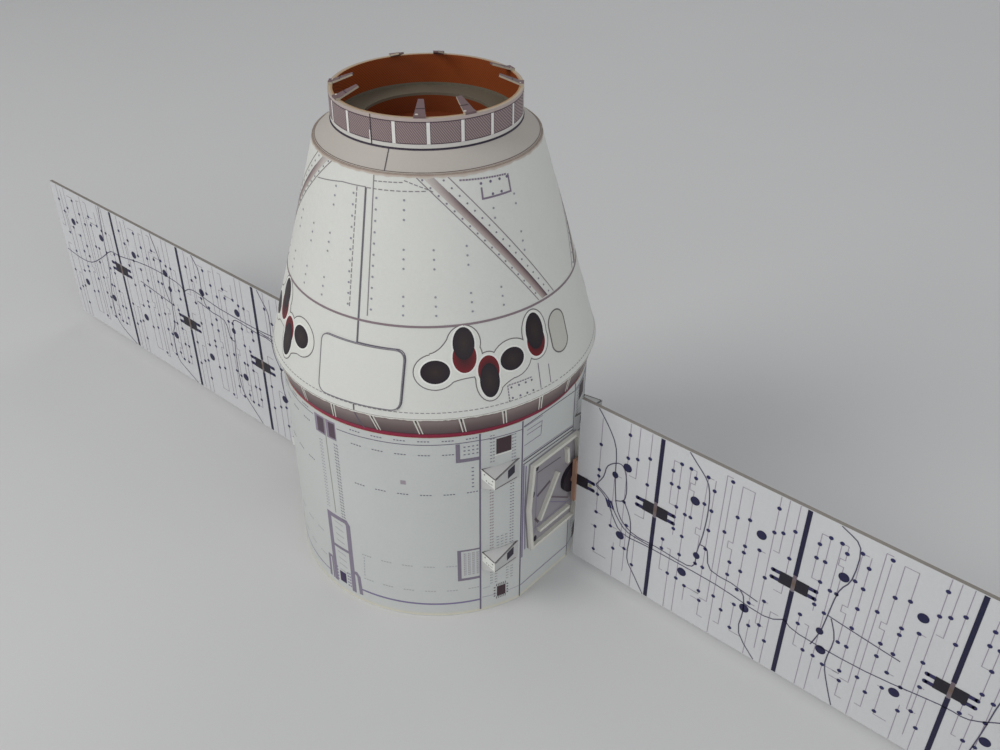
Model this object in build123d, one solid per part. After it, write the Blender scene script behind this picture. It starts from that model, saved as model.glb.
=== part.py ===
from build123d import *
import os
from math import cos, radians, sin

# Printed card model of a cargo space capsule, in millimetres.
# +Z is up through the docking collar, +X along the right solar wing, and -Y is the side with
# the bay door. The origin is the centre of the trunk's foot on the table.

# Card the model is folded from
cardWall = 0.6  # shells of the trunk and capsule
wingCard = 0.5  # each of the two layers of a wing
glueGap = 0.02  # left between curved pieces that lie on each other
cutPast = 1.0  # how far a cut runs past what it cuts

# Trunk: a round sleeve with one flat facet on each wing side
trunkRadius = 38.5
trunkHeight = 58.0
facetHalfAngle = 14.8
formerWidth = 4.0  # flat ring inside the trunk's foot

# Capsule: bevel band, cone, shoulder and docking collar
bandInset = 0.2  # the bevel band's foot sits this far inside the trunk's face
beltFlare = 1.7  # the belt stands this far outside the trunk
bevelHeight = 6.6
coneTopRadius = 25.6
coneHeight = 51.2
cutEdge = 0.35  # of the cone's raw top edge left bare round the shoulder
shoulderHeight = 3.6
collarRadius = 21.3
collarHeight = 6.6

# Tunnel inside the collar
linerCard = 0.4
ledgeDepth = 7.2  # below the rim
ledgeInnerRadius = 14.7
wellDepth = 4.0

# Guide petals: four pairs leaning in over the tunnel
petalPairAngles = (-35.0, 54.0, 140.5, 235.0)  # the back pair is glued a little off the quarter
petalHalfSpread = 14.4
petalLength = 5.2
petalFootWidth = 2.5
petalTipWidth = 1.2
petalLean = 20.0  # up from level
petalCard = 0.4
petalFootHeight = 0.5

# Bay door: a rounded card glued on the cone
doorAngle = -72.3
doorHalfAngle = 16.0
doorLowAboveBelt = 1.7
doorTall = 13.6
doorCorner = 2.4
doorCard = 0.3

# Wedge brackets beside each facet
wedgeSpan = 15.0
wedgeFromCorner = 1.3  # angle between the facet's corner and the bracket
wedgeApexShift = 5.0  # angle of the apex off the bracket's middle, away from the facet
wedgeReach = 4.9
wedgeWallTall = 5.8
wedgeApexTall = 2.8
wedgeTops = (17.8, -8.8)  # above the wing hub

# Wing hub on the facet
hubHeight = 29.6
hubOffset = 9.3  # sideways from the trunk's axis
mountPlateCard = 0.5
mountRibTall = 1.0
mountRibWide = 0.9
mountHalfTall = 13.8
mountNearEdge = 16.6  # from the hub to the outline's near end
mountFarEdge = 1.6
mountPoint = 1.3  # how far both ends swell at hub height
mountRibs = (  # from Y, from Z, to Y, to Z, counted from the hub
    (-6.2, 5.4, -13.1, -6.0),
    (-2.9, 11.0, -2.3, 6.2),
    (-13.2, -9.4, -1.0, -9.4),
)
hubDiscRadius = 4.2
rootTall = 13.2  # card block on the wing's inner edge, behind the pin
rootThick = 2.4
pinRadius = 1.2
pinClearance = 0.08
pinEndGap = 0.3
rootGap = 0.3
wingGap = 2.9  # from the facet to the wing's inner edge

# Wings: two printed layers, the dark cells facing +Y and the pale back facing -Y
wingHeight = 51.6
wingLength = 133.6

# Heights and places that follow from the sizes above
bandFootRadius = trunkRadius - bandInset
beltRadius = trunkRadius + beltFlare
beltHeight = trunkHeight + bevelHeight
coneTopHeight = beltHeight + coneHeight
collarFootHeight = coneTopHeight + shoulderHeight
rimHeight = collarFootHeight + collarHeight
ledgeTop = rimHeight - ledgeDepth
facetX = trunkRadius * cos(radians(facetHalfAngle))
mountFace = facetX + mountPlateCard
hubFace = mountFace + mountRibTall
wingInnerX = facetX + wingGap
linerRadius = collarRadius - cardWall

nodes = {}


def placed(node, shape):
    """Keeps a finished piece under its node name."""
    nodes[node] = shape


def turned(points):
    """A solid of revolution about the Z axis from (radius, height) points."""
    outline = Plane.XZ * make_face(Polyline(*points, close=True))
    return revolve(outline, Axis.Z, 360)


def sleeve(lowRadius, lowZ, highRadius, highZ, wall):
    """A straight or tapering ring of card whose outer face runs between two radii."""
    return turned([
        (lowRadius, lowZ),
        (highRadius, highZ),
        (highRadius - wall, highZ),
        (lowRadius - wall, lowZ),
    ])


def disc(radius, lowZ, thick):
    """A flat round card."""
    return Pos(0, 0, lowZ) * Cylinder(radius, thick, align=(Align.CENTER, Align.CENTER, Align.MIN))


def block(xRange, yRange, zRange):
    """A box from its limits on each axis."""
    size = [high - low for low, high in (xRange, yRange, zRange)]
    middle = [(high + low) / 2 for low, high in (xRange, yRange, zRange)]
    return Pos(*middle) * Box(*size)


def facetedRod(inset, lowZ, tall):
    """The trunk's outline, drawn in by inset, as a solid rod."""
    rod = disc(trunkRadius - inset, lowZ, tall)
    reach = facetX - inset
    return rod & block((-reach, reach), (-trunkRadius, trunkRadius), (lowZ, lowZ + tall))


def makeTrunk():
    inside = facetedRod(cardWall, -cutPast, trunkHeight + 2 * cutPast)
    placed("trunk_wall", facetedRod(0, 0, trunkHeight) - inside)
    former = facetedRod(cardWall, 0, cardWall)
    openRadius = trunkRadius - cardWall - formerWidth
    placed("trunk_former", former - disc(openRadius, -cutPast, cardWall + 2 * cutPast))


def makeCapsule():
    placed("bevel_band", sleeve(bandFootRadius, trunkHeight, beltRadius, beltHeight, cardWall))
    rise = (beltRadius - bandFootRadius) / bevelHeight * cardWall
    shieldRadius = bandFootRadius - cardWall
    placed("heat_shield", turned([
        (0, trunkHeight),
        (shieldRadius, trunkHeight),
        (shieldRadius + rise, trunkHeight + cardWall),
        (0, trunkHeight + cardWall),
    ]))
    placed("capsule_wall", sleeve(beltRadius, beltHeight, coneTopRadius, coneTopHeight, cardWall))
    footRadius = coneTopRadius - cutEdge
    placed("shoulder", sleeve(footRadius, coneTopHeight, collarRadius, collarFootHeight, cardWall))
    placed("collar", sleeve(collarRadius, collarFootHeight, collarRadius, rimHeight, cardWall))


def makeTunnel():
    placed("collar_liner", sleeve(linerRadius, collarFootHeight, linerRadius, rimHeight, linerCard))
    seat = cardWall
    placed("tunnel_ledge", turned([
        (ledgeInnerRadius, ledgeTop - seat),
        (linerRadius, ledgeTop - seat),
        (linerRadius, collarFootHeight),
        (linerRadius - linerCard, collarFootHeight),
        (linerRadius - linerCard, ledgeTop),
        (ledgeInnerRadius, ledgeTop),
    ]))
    wellTop = ledgeTop - seat
    wellRadius = ledgeInnerRadius + cardWall
    placed("tunnel_well", sleeve(wellRadius, wellTop - wellDepth, wellRadius, wellTop, cardWall))
    placed("tunnel_hatch", disc(wellRadius, wellTop - wellDepth - cardWall, cardWall))


def makePetal(angle):
    """One leaning guide petal on its glued foot, at an angle round the rim."""
    footLow = linerRadius - linerCard
    foot = block(
        (footLow, collarRadius),
        (-petalFootWidth / 2, petalFootWidth / 2),
        (rimHeight, rimHeight + petalFootHeight),
    )
    blade = make_face(Polyline(
        (0, -petalFootWidth / 2),
        (petalLength, -petalTipWidth / 2),
        (petalLength, petalTipWidth / 2),
        (0, petalFootWidth / 2),
        close=True,
    ))
    blade = Rot(0, -petalLean, 0) * extrude(blade, petalCard)
    blade = Rot(0, 0, 180) * blade
    blade = Pos(footLow + petalCard, 0, rimHeight) * blade
    below = (rimHeight - cutPast, rimHeight)
    floor = block((0, collarRadius), (-petalFootWidth, petalFootWidth), below)
    return Rot(0, 0, angle) * (foot + (blade - floor))


def makePetals():
    angles = [pair + side * petalHalfSpread for pair in petalPairAngles for side in (-1, 1)]
    for number, angle in enumerate(angles, 1):
        placed(f"guide_petal_{number}", makePetal(angle))


def coneRadius(height):
    """Outer radius of the capsule's cone at a height."""
    share = (height - beltHeight) / coneHeight
    return beltRadius + share * (coneTopRadius - beltRadius)


def makeDoor():
    lowZ = beltHeight + doorLowAboveBelt
    highZ = lowZ + doorTall
    skin = sleeve(
        coneRadius(lowZ) + glueGap + doorCard, lowZ, coneRadius(highZ) + glueGap + doorCard, highZ, doorCard
    )
    halfWidth = coneRadius((lowZ + highZ) / 2) * sin(radians(doorHalfAngle))
    outline = Plane.YZ * RectangleRounded(2 * halfWidth, doorTall, doorCorner)
    cutter = Pos(0, 0, (lowZ + highZ) / 2) * extrude(outline, 2 * beltRadius)
    placed("bay_door", skin & (Rot(0, 0, doorAngle) * cutter))


def makeWedge(side, tilt, topZ):
    """A folded bracket on the round wall, side +1 or -1 along X and tilt +1 or -1 along Y."""
    nearAngle = facetHalfAngle + wedgeFromCorner
    farAngle = nearAngle + wedgeSpan
    apexAngle = (nearAngle + farAngle) / 2 + wedgeApexShift
    apexRadius = trunkRadius + wedgeReach

    def spot(radius, angle):
        return (radius * cos(radians(angle)), radius * sin(radians(angle)))

    inner = trunkRadius - 2 * cardWall
    plan = make_face(Polyline(
        spot(inner, nearAngle), spot(trunkRadius, nearAngle), spot(apexRadius, apexAngle),
        spot(trunkRadius, farAngle), spot(inner, farAngle), close=True,
    ))
    prism = Pos(0, 0, topZ - wedgeWallTall) * extrude(plan, wedgeWallTall)
    under = Plane.XZ * make_face(Polyline(
        (trunkRadius, topZ - wedgeWallTall), (apexRadius + cutPast, topZ - wedgeWallTall),
        (apexRadius + cutPast, topZ - wedgeApexTall), (apexRadius, topZ - wedgeApexTall), close=True,
    ))
    slope = Rot(0, 0, apexAngle) * extrude(under, trunkRadius, both=True)
    wedge = prism - slope - disc(trunkRadius, 0, trunkHeight)
    if tilt < 0:
        wedge = mirror(wedge, Plane.XZ)
    if side < 0:
        wedge = mirror(wedge, Plane.YZ)
    return wedge


def makeWedges():
    for side, sideName in ((1, "right"), (-1, "left")):
        for tilt, tiltName in ((-1, "front"), (1, "back")):
            for topZ, levelName in zip(wedgeTops, ("upper", "lower")):
                placed(f"wedge_{sideName}_{tiltName}_{levelName}", makeWedge(side, tilt, hubHeight + topZ))


def turnedTo(side, shape):
    """The left wing's mount is the right one turned half way round the trunk."""
    return shape if side > 0 else Rot(0, 0, 180) * shape


def hubRod(radius, lowX, highX):
    """A round rod on the right wing's axis."""
    rod = Rot(0, 90, 0) * Cylinder(radius, highX - lowX, align=(Align.CENTER, Align.CENTER, Align.MIN))
    return Pos(lowX, hubOffset, hubHeight) * rod


def mountOutline(inset):
    """The mount's six-sided outline in (Y, Z), drawn in by inset."""
    near = hubOffset - mountNearEdge + inset
    far = hubOffset + mountFarEdge - inset
    tall = mountHalfTall - inset
    return make_face(Polyline(
        (near, hubHeight - tall), (near - mountPoint, hubHeight), (near, hubHeight + tall),
        (far, hubHeight + tall), (far + mountPoint, hubHeight), (far, hubHeight - tall), close=True,
    ))


def onFacet(face, lowX, thick):
    """A (Y, Z) face as a plate standing out along +X."""
    return Pos(lowX, 0, 0) * extrude(Plane.YZ * face, thick)


def mountRib(fromPoint, toPoint):
    """A straight rib between two (Y, Z) places counted from the hub."""
    dy = toPoint[0] - fromPoint[0]
    dz = toPoint[1] - fromPoint[1]
    length = (dy * dy + dz * dz) ** 0.5
    sideY = -dz / length * mountRibWide / 2
    sideZ = dy / length * mountRibWide / 2
    corners = [
        (fromPoint[0] + sideY, fromPoint[1] + sideZ), (fromPoint[0] - sideY, fromPoint[1] - sideZ),
        (toPoint[0] - sideY, toPoint[1] - sideZ), (toPoint[0] + sideY, toPoint[1] + sideZ),
    ]
    moved = [(hubOffset + y, hubHeight + z) for y, z in corners]
    return onFacet(make_face(Polyline(*moved, close=True)), mountFace, mountRibTall)


def makeMounts():
    bore = hubRod(pinRadius + pinClearance, facetX - cutPast, hubFace + cutPast)
    plate = onFacet(mountOutline(0), facetX, mountPlateCard) - bore
    rim = onFacet(mountOutline(0), mountFace, mountRibTall)
    rim -= onFacet(mountOutline(mountRibWide), mountFace - cutPast, mountRibTall + 2 * cutPast)
    rim -= hubRod(hubDiscRadius, facetX, hubFace + cutPast)
    ribs = Compound(children=[mountRib(row[:2], row[2:]) for row in mountRibs])
    hub = hubRod(hubDiscRadius, mountFace, hubFace) - bore
    for side, name in ((1, "right"), (-1, "left")):
        placed(f"mount_plate_{name}", turnedTo(side, plate))
        placed(f"mount_rim_{name}", turnedTo(side, rim))
        placed(f"mount_ribs_{name}", turnedTo(side, ribs))
        placed(f"hub_disc_{name}", turnedTo(side, hub))


def makeWing(side, name):
    tall = (hubHeight - wingHeight / 2, hubHeight + wingHeight / 2)
    span = sorted((side * wingInnerX, side * (wingInnerX + wingLength)))
    middle = side * hubOffset
    placed(f"cell_sheet_{name}", block(span, (middle, middle + wingCard), tall))
    placed(f"back_sheet_{name}", block(span, (middle - wingCard, middle), tall))
    root = block(
        (hubFace + rootGap, wingInnerX),
        (hubOffset - rootThick / 2, hubOffset + rootThick / 2),
        (hubHeight - rootTall / 2, hubHeight + rootTall / 2),
    )
    root += hubRod(pinRadius, facetX + pinEndGap, hubFace + rootGap)
    placed(f"wing_root_{name}", turnedTo(side, root))


makeTrunk()
makeCapsule()
makeTunnel()
makePetals()
makeDoor()
makeWedges()
makeMounts()
makeWing(1, "right")
makeWing(-1, "left")

os.makedirs("parts", exist_ok=True)
for node, shape in nodes.items():
    export_step(shape, f"parts/{node}.step")
print(len(nodes), "nodes")
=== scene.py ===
import math
import random

import bpy
from mathutils import Matrix, Vector


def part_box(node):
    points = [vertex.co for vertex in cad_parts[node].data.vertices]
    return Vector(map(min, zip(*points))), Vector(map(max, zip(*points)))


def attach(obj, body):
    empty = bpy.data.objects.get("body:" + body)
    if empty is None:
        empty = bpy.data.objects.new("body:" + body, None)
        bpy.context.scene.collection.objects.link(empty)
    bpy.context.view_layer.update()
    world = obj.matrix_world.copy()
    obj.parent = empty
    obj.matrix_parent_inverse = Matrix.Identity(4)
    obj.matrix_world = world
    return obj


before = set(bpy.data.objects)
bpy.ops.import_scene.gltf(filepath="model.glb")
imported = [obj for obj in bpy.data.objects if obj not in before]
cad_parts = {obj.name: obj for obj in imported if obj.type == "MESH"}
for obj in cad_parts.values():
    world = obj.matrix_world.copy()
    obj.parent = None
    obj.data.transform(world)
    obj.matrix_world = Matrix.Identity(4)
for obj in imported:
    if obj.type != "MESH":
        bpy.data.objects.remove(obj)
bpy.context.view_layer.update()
random.seed(48)
mm = 0.001
print("frame loaded:", len(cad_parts), "card pieces")


# Colours are written as the eye reads them, 0 to 255

def printed(red, green, blue):
    levels = []
    for value in (red, green, blue):
        value = max(value, 0) / 255
        levels.append(value / 12.92 if value <= 0.04045 else ((value + 0.055) / 1.055) ** 2.4)
    return (*levels, 1)


def between(low, high, share):
    return tuple(a + (b - a) * share for a, b in zip(low, high))


# Small helpers for the shader trees

def put(tree, kind, **values):
    node = tree.nodes.new(kind)
    for name, value in values.items():
        if hasattr(node, name):
            setattr(node, name, value)
        else:
            node.inputs[name.replace("_", " ")].default_value = value
    return node


def joined(tree, node, first, *others):
    for socket, value in zip(node.inputs[first:], others):
        if isinstance(value, bpy.types.NodeSocket):
            tree.links.new(value, socket)
        else:
            socket.default_value = value
    return node


def sums(tree, operation, *terms):
    return joined(tree, put(tree, "ShaderNodeMath", operation=operation), 0, *terms).outputs[0]


def vectors(tree, operation, *terms):
    return joined(tree, put(tree, "ShaderNodeVectorMath", operation=operation), 0, *terms).outputs


def blended(tree, share, first, second, kind="MIX"):
    node = put(tree, "ShaderNodeMix", data_type="RGBA", blend_type=kind)
    joined(tree, node, 0, share)
    return joined(tree, node, 6, first, second).outputs[2]


def noise(tree, place, scale, detail=3, rough=0.55):
    node = put(tree, "ShaderNodeTexNoise", Scale=scale, Detail=detail, Roughness=rough)
    return joined(tree, node, 0, place).outputs["Fac"]


# Paper fibres and a matt, slightly uneven coating, shared by bare card and printed ink
paper = {
    "blotch": (42, 3), "fibre": (1500, 4, 0.6), "speck": (5200, 1),  # scale, detail and roughness
    "mix": (0.5, 0.32, 0.2),  # how much blotches, fibres and specks change a colour
    "bump": 0.16, "depth": 0.00005,
    "cardGloss": 0.35, "cardRough": (0.5, 0.66), "inkGloss": 0.4, "inkRough": (0.42, 0.56),
    "inkGrain": 0.35, "petalGrain": 0.5,
    "edgeGrain": 3, "edgeMost": 0.8, "bareGrain": 1.5,  # times the face's grain, and an edge's most
    "turned": 0.6,  # what faces the printed side less than this is an edge, and as much away is the inside
    "hatch": {"Scale": 900, "Distortion": 1.2, "Detail": 1}, "cardHatch": 0.7, "inkHatch": 0.8,
}


def paperSurface(tree, shader, roughRange):
    place = put(tree, "ShaderNodeTexCoord").outputs["Object"]
    blotch, fibre, speck = (noise(tree, place, *paper[grain]) for grain in ("blotch", "fibre", "speck"))
    rough = put(tree, "ShaderNodeMapRange", To_Min=roughRange[0], To_Max=roughRange[1])
    tree.links.new(fibre, rough.inputs["Value"])
    tree.links.new(rough.outputs[0], shader.inputs["Roughness"])
    bump = put(tree, "ShaderNodeBump", Strength=paper["bump"], Distance=paper["depth"])
    tree.links.new(fibre, bump.inputs["Height"])
    tree.links.new(bump.outputs[0], shader.inputs["Normal"])
    return place, (blotch, fibre, speck)


def toned(tree, colour, grains, amount):
    # a colour with blotches, fibres and printing specks worked into it, as bright on the whole as before
    level = 1 - sum(paper["mix"]) / 2 * amount
    for grain, share in zip(grains, paper["mix"]):
        level = sums(tree, "MULTIPLY_ADD", grain, share * amount, level)
    grey = joined(tree, put(tree, "ShaderNodeCombineColor"), 0, level, level, level)
    return blended(tree, 1.0, colour, grey.outputs[0], "MULTIPLY")


def radial(tree):
    # the level direction away from the capsule's axis
    place = put(tree, "ShaderNodeTexCoord").outputs["Object"]
    level = vectors(tree, "MULTIPLY", place, (1, 1, 0))[0]
    return vectors(tree, "NORMALIZE", level)[0]


def facing(tree, side=None, lean=0):
    # how squarely the surface faces a given side, or away from the axis on a wall that leans by some degrees
    normal = put(tree, "ShaderNodeTexCoord").outputs["Normal"]
    if side is None:
        flat, rise = math.cos(math.radians(lean)), math.sin(math.radians(lean))
        side = vectors(tree, "MULTIPLY_ADD", radial(tree), (flat, flat, 0), (0, 0, rise))[0]
    return vectors(tree, "DOT_PRODUCT", normal, side)["Value"]


def hatched(tree, place, colour, tone, strength):
    # fine slanting lines of the printer's screen
    wave = put(tree, "ShaderNodeTexWave", bands_direction="DIAGONAL", **paper["hatch"])
    tree.links.new(place, wave.inputs["Vector"])
    return blended(tree, sums(tree, "MULTIPLY", wave.outputs["Fac"], strength), colour, printed(*tone))


def newMaterial(name, gloss):
    material = bpy.data.materials.new(name)
    material.use_nodes = True
    shader = material.node_tree.nodes["Principled BSDF"]
    shader.inputs["Specular IOR Level"].default_value = gloss
    return material, material.node_tree, shader


def cardMaterial(name, face, inside=None, edge=None, lean=0, side=None, amount=0.2, screen=None):
    # printed face, bare inside and raw cut edge, told apart by the way that they face
    material, tree, shader = newMaterial(name, paper["cardGloss"])
    place, grains = paperSurface(tree, shader, paper["cardRough"])
    colour = toned(tree, printed(*face), grains, amount)
    if edge:
        out = facing(tree, side, lean)
        raw = toned(tree, printed(*edge), grains, min(amount * paper["edgeGrain"], paper["edgeMost"]))
        bare = toned(tree, printed(*(inside or face)), grains, amount * paper["bareGrain"])
        if screen:
            bare = hatched(tree, place, bare, screen, paper["cardHatch"])
        colour = blended(tree, sums(tree, "LESS_THAN", out, paper["turned"]), colour, raw)
        colour = blended(tree, sums(tree, "LESS_THAN", out, -paper["turned"]), colour, bare)
    tree.links.new(colour, shader.inputs["Base Color"])
    return material


def petalMaterial(name, face, edge):
    # small leaning blades with pale cut flanks
    material, tree, shader = newMaterial(name, paper["cardGloss"])
    grains = paperSurface(tree, shader, paper["cardRough"])[1]
    normal = put(tree, "ShaderNodeTexCoord").outputs["Normal"]
    sideways = vectors(tree, "CROSS_PRODUCT", (0, 0, 1), radial(tree))[0]
    flank = sums(tree, "ABSOLUTE", vectors(tree, "DOT_PRODUCT", normal, sideways)["Value"])
    tones = [toned(tree, printed(*tone), grains, paper["petalGrain"]) for tone in (face, edge)]
    colour = blended(tree, sums(tree, "GREATER_THAN", flank, paper["turned"]), *tones)
    tree.links.new(colour, shader.inputs["Base Color"])
    return material


def dressed(material, *names):
    for name in names:
        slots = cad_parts[name].data.materials
        slots.clear()
        slots.append(material)


# Card finishes: what they are made of and the card pieces that wear them
finishes = {
    "trunkCard": ({"face": (197, 200, 197), "inside": (214, 211, 202), "edge": (196, 186, 162)},
                  ["trunk_wall"]),
    "plainCard": ({"face": (212, 208, 198)}, ["trunk_former", "heat_shield"]),
    "coneCard": ({"face": (213, 214, 208), "inside": (214, 211, 202), "edge": (150, 134, 120), "lean": 15.9},
                 ["capsule_wall"]),
    # the door's cut sides take a dark grey: painted shade on the card's edge
    "doorCard": ({"face": (214, 215, 209), "edge": (116, 112, 122), "lean": 15.9}, ["bay_door"]),
    "bandCard": ({"face": (128, 117, 116), "inside": (205, 198, 186), "edge": (206, 202, 190), "lean": -16},
                 ["bevel_band"]),
    "shoulderCard": (
        {"face": (180, 174, 166), "inside": (205, 200, 190), "edge": (150, 134, 122), "lean": 48},
        ["shoulder"]),
    "collarCard": ({"face": (208, 205, 199), "inside": (196, 188, 172), "edge": (172, 158, 138)}, ["collar"]),
    "linerCard": (
        {"face": (126, 88, 58), "inside": (142, 66, 16), "edge": (164, 132, 98), "screen": (92, 38, 10)},
        ["collar_liner"]),
    "wellCard": (
        {"face": (120, 78, 46), "inside": (122, 56, 16), "edge": (118, 88, 60), "screen": (82, 34, 10)},
        ["tunnel_well"]),
    "ledgeCard": ({"face": (104, 98, 84), "amount": 0.4}, ["tunnel_ledge"]),
    "hatchCard": ({"face": (110, 48, 18), "amount": 0.5}, ["tunnel_hatch"]),
}
for name, (look, wearers) in finishes.items():
    dressed(cardMaterial(name, **look), *wearers)
petals = sorted(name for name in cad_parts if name.startswith("guide_petal"))
dressed(petalMaterial("petalCard", (108, 88, 90), (176, 166, 148)), *petals)

wingFinishes = {
    "mountPlateCard": ({"face": (150, 146, 150), "amount": 0.25}, ["mount_plate"]),
    "mountRimCard": ({"face": (212, 210, 200), "amount": 0.3}, ["mount_rim", "mount_ribs"]),
    "wedgeCard": ({"face": (190, 190, 188), "amount": 0.25}, ["wedge"]),
    "hubCard": ({"face": (34, 28, 38), "amount": 0.6}, ["hub_disc"]),
    "rootCard": ({"face": (160, 124, 104), "amount": 0.5}, ["wing_root"]),
    "wingBackCard": ({"face": (204, 205, 206), "edge": (130, 125, 118), "side": (0, -1, 0)}, ["back_sheet"]),
    "wingCellCard": ({"face": (44, 48, 88), "edge": (130, 125, 118), "side": (0, 1, 0)}, ["cell_sheet"]),
}
for name, (look, starts) in wingFinishes.items():
    wearers = [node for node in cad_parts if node.startswith(tuple(starts))]
    dressed(cardMaterial(name, **look), *wearers)
print("card finishes:", len(finishes) + len(wingFinishes) + 1)


# Faces that carry print. A place on a round face is an angle in degrees and a height above the card's lower
# edge in millimetres. A place on a flat face is two distances in millimetres.
longest = {"round": 2.5, "flat": 400}  # the longest stretch between two points of print, in the same units


def roundFace(lowRadius, foot, highRadius, top):
    slope = (highRadius - lowRadius) / (top - foot)
    lean = math.hypot(1, slope)

    def radius(height):
        return lowRadius + height * slope

    def spot(angle, height, lift):
        turn, reach = math.radians(angle), radius(height)
        out = Vector((math.cos(turn), math.sin(turn), -slope)) / lean
        return Vector((reach * math.cos(turn), reach * math.sin(turn), foot + height)) + out * lift

    def scale(height):
        return math.radians(radius(height)), lean

    return {"spot": spot, "scale": scale, "radius": radius, "lean": lean, "slope": slope, "tall": top - foot,
            "step": longest["round"], "turn": 1}


def flatFace(origin, across, up, flipped=False):
    origin, across, up = Vector(origin), Vector(across).normalized(), Vector(up).normalized()
    out = across.cross(up) * (-1 if flipped else 1)

    def spot(u, v, lift):
        return origin + across * u + up * v + out * lift

    def scale(v):
        return 1, 1

    return {"spot": spot, "scale": scale, "step": longest["flat"], "turn": -1 if flipped else 1}


def corners(node):
    low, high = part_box(node)
    return Vector(low) / mm, Vector(high) / mm


# Card edges as the frame gives them; x and y are reaches from the axis and z is a height
trunkTop, beltTop, coneTop, shoulderTop, collarTop = (
    corners(node)[1] for node in ("trunk_wall", "bevel_band", "capsule_wall", "shoulder", "collar"))
setBack = {"band": 0.2, "cone": 0.35, "door": 0.32}  # band foot inside the trunk, bare cone edge, door's card
trunkFace = roundFace(trunkTop.y, 0, trunkTop.y, trunkTop.z)
bandFace = roundFace(trunkTop.y - setBack["band"], trunkTop.z, beltTop.x, beltTop.z)
coneFace = roundFace(beltTop.x, beltTop.z, shoulderTop.x + setBack["cone"], coneTop.z)
doorFace = roundFace(beltTop.x + setBack["door"], beltTop.z,
                     shoulderTop.x + setBack["cone"] + setBack["door"], coneTop.z)
shoulderFace = roundFace(shoulderTop.x, coneTop.z, collarTop.x, shoulderTop.z)
collarFace = roundFace(collarTop.x, shoulderTop.z, collarTop.x, collarTop.z)

# Print lies on the card as a film of ink: areas lowest, then lines, then dots and marks
inkLift = {"area": 0.025, "line": 0.045, "mark": 0.065, "over": 0.085, "top": 0.105}
inkDepth = 0.02
drawing = {
    "mitre": 0.25,  # the least by which a stroke's half width is divided at a sharp corner
    "rings": (0.3, 0.55, 0.8, 1), "broad": 1.2,  # rings of points in a fill that reaches further than this
    "web": (0, 0.33, 0.67, 1), "dotPoints": 8,
    "sharpAngle": 40,  # degrees from which an edge of the film is shaded as a sharp one
}


def newPrint(name):
    return {"name": name, "points": [], "faces": [], "tones": []}


def addPoint(sheet, face, across, up, lift, tone):
    sheet["points"].append(face["spot"](across, up, inkLift[lift]) * mm)
    sheet["tones"].append(tone)


def addFace(sheet, face, corner):
    sheet["faces"].append(corner if face["turn"] > 0 else corner[::-1])


def layRows(sheet, face, rows, lift, closed=False):
    # rows of (across, up, tone), each row as long as the next
    start, wide = len(sheet["points"]), len(rows[0])
    for row in rows:
        for across, up, tone in row:
            addPoint(sheet, face, across, up, lift, tone)
    for level in range(len(rows) - 1):
        for column in range(wide if closed else wide - 1):
            left, right = start + level * wide + column, start + level * wide + (column + 1) % wide
            addFace(sheet, face, (left, right, right + wide, left + wide))


def walked(face, path, closed=False):
    # the path with more points where a run goes round a curve
    points = []
    ends = list(path[1:]) + ([path[0]] if closed else [])
    for p, q in zip(path, ends):
        parts = max(1, math.ceil(abs(q[0] - p[0]) / face["step"]))
        points += [between(p, q, n / parts) for n in range(parts)]
    return points if closed else points + [path[-1]]


def stroke(sheet, face, path, width, tone, lift="line", closed=False):
    # a line of ink; its width may be (at the start, at the end)
    points = walked(face, path, closed)
    count = len(points)
    widths = width if isinstance(width, tuple) else (width, width)
    sides = []
    for n, (across, up) in enumerate(points):
        wide, lean = face["scale"](up)
        before = points[n - 1] if n or closed else points[n]
        after = points[(n + 1) % count] if n < count - 1 or closed else points[n]
        normals = []
        for p, q in ((before, points[n]), (points[n], after)):
            du, dv = (q[0] - p[0]) * wide, (q[1] - p[1]) * lean
            length = math.hypot(du, dv)
            if length:
                normals.append((-dv / length, du / length))
        u, v = (sum(normal[k] for normal in normals) / len(normals) for k in (0, 1))
        half = (widths[0] + (widths[1] - widths[0]) * n / max(count - 1, 1)) / 2
        half /= max(u * u + v * v, drawing["mitre"])
        sides.append((u * half / wide, v * half / lean))
    rows = [[(p[0] + way * s[0], p[1] + way * s[1], tone) for p, s in zip(points, sides)] for way in (-1, 1)]
    layRows(sheet, face, rows, lift, closed)


def panel(sheet, face, acrossRange, upStops, tones, lift="area"):
    # an upright rectangle with a tone at each of its heights
    low, high = sorted(acrossRange)
    parts = max(1, math.ceil((high - low) / face["step"]))
    columns = [low + (high - low) * n / parts for n in range(parts + 1)]
    rows = [[(across, up, tone) for across in columns] for up, tone in zip(upStops, tones)]
    layRows(sheet, face, rows, lift)


def bent(start, corner, end, steps):
    # a curve from start to end that leans towards the corner
    curve = []
    for step in range(steps + 1):
        share = step / steps
        curve.append(between(between(start, corner, share), between(corner, end, share), share))
    return curve


def rounded(outline, radius, steps=5):
    # a closed outline with its corners rounded, in plain millimetres
    path = []
    for n, corner in enumerate(outline):
        arms = []
        for other in (outline[n - 1], outline[(n + 1) % len(outline)]):
            arms.append(between(corner, other, radius / math.dist(corner, other)))
        path += bent(arms[0], corner, arms[1], steps)
    return path


def smooth(points, steps=3):
    # a soft line through all its points
    line = []
    for n in range(len(points) - 1):
        near = [points[min(max(n + k, 0), len(points) - 1)] for k in (-1, 0, 1, 2)]
        for step in range(steps):
            share, spot = step / steps, []
            for a, b, c, d in zip(*near):
                bend = (2 * a - 5 * b + 4 * c - d) * share * share
                spot.append(0.5 * (2 * b + (c - a) * share + bend + (3 * b - a - 3 * c + d) * share ** 3))
            line.append(tuple(spot))
    return line + [points[-1]]


def ellipse(rx, ry, count):
    turns = [2 * math.pi * n / count for n in range(count)]
    return [(rx * math.cos(turn), ry * math.sin(turn)) for turn in turns]


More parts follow.
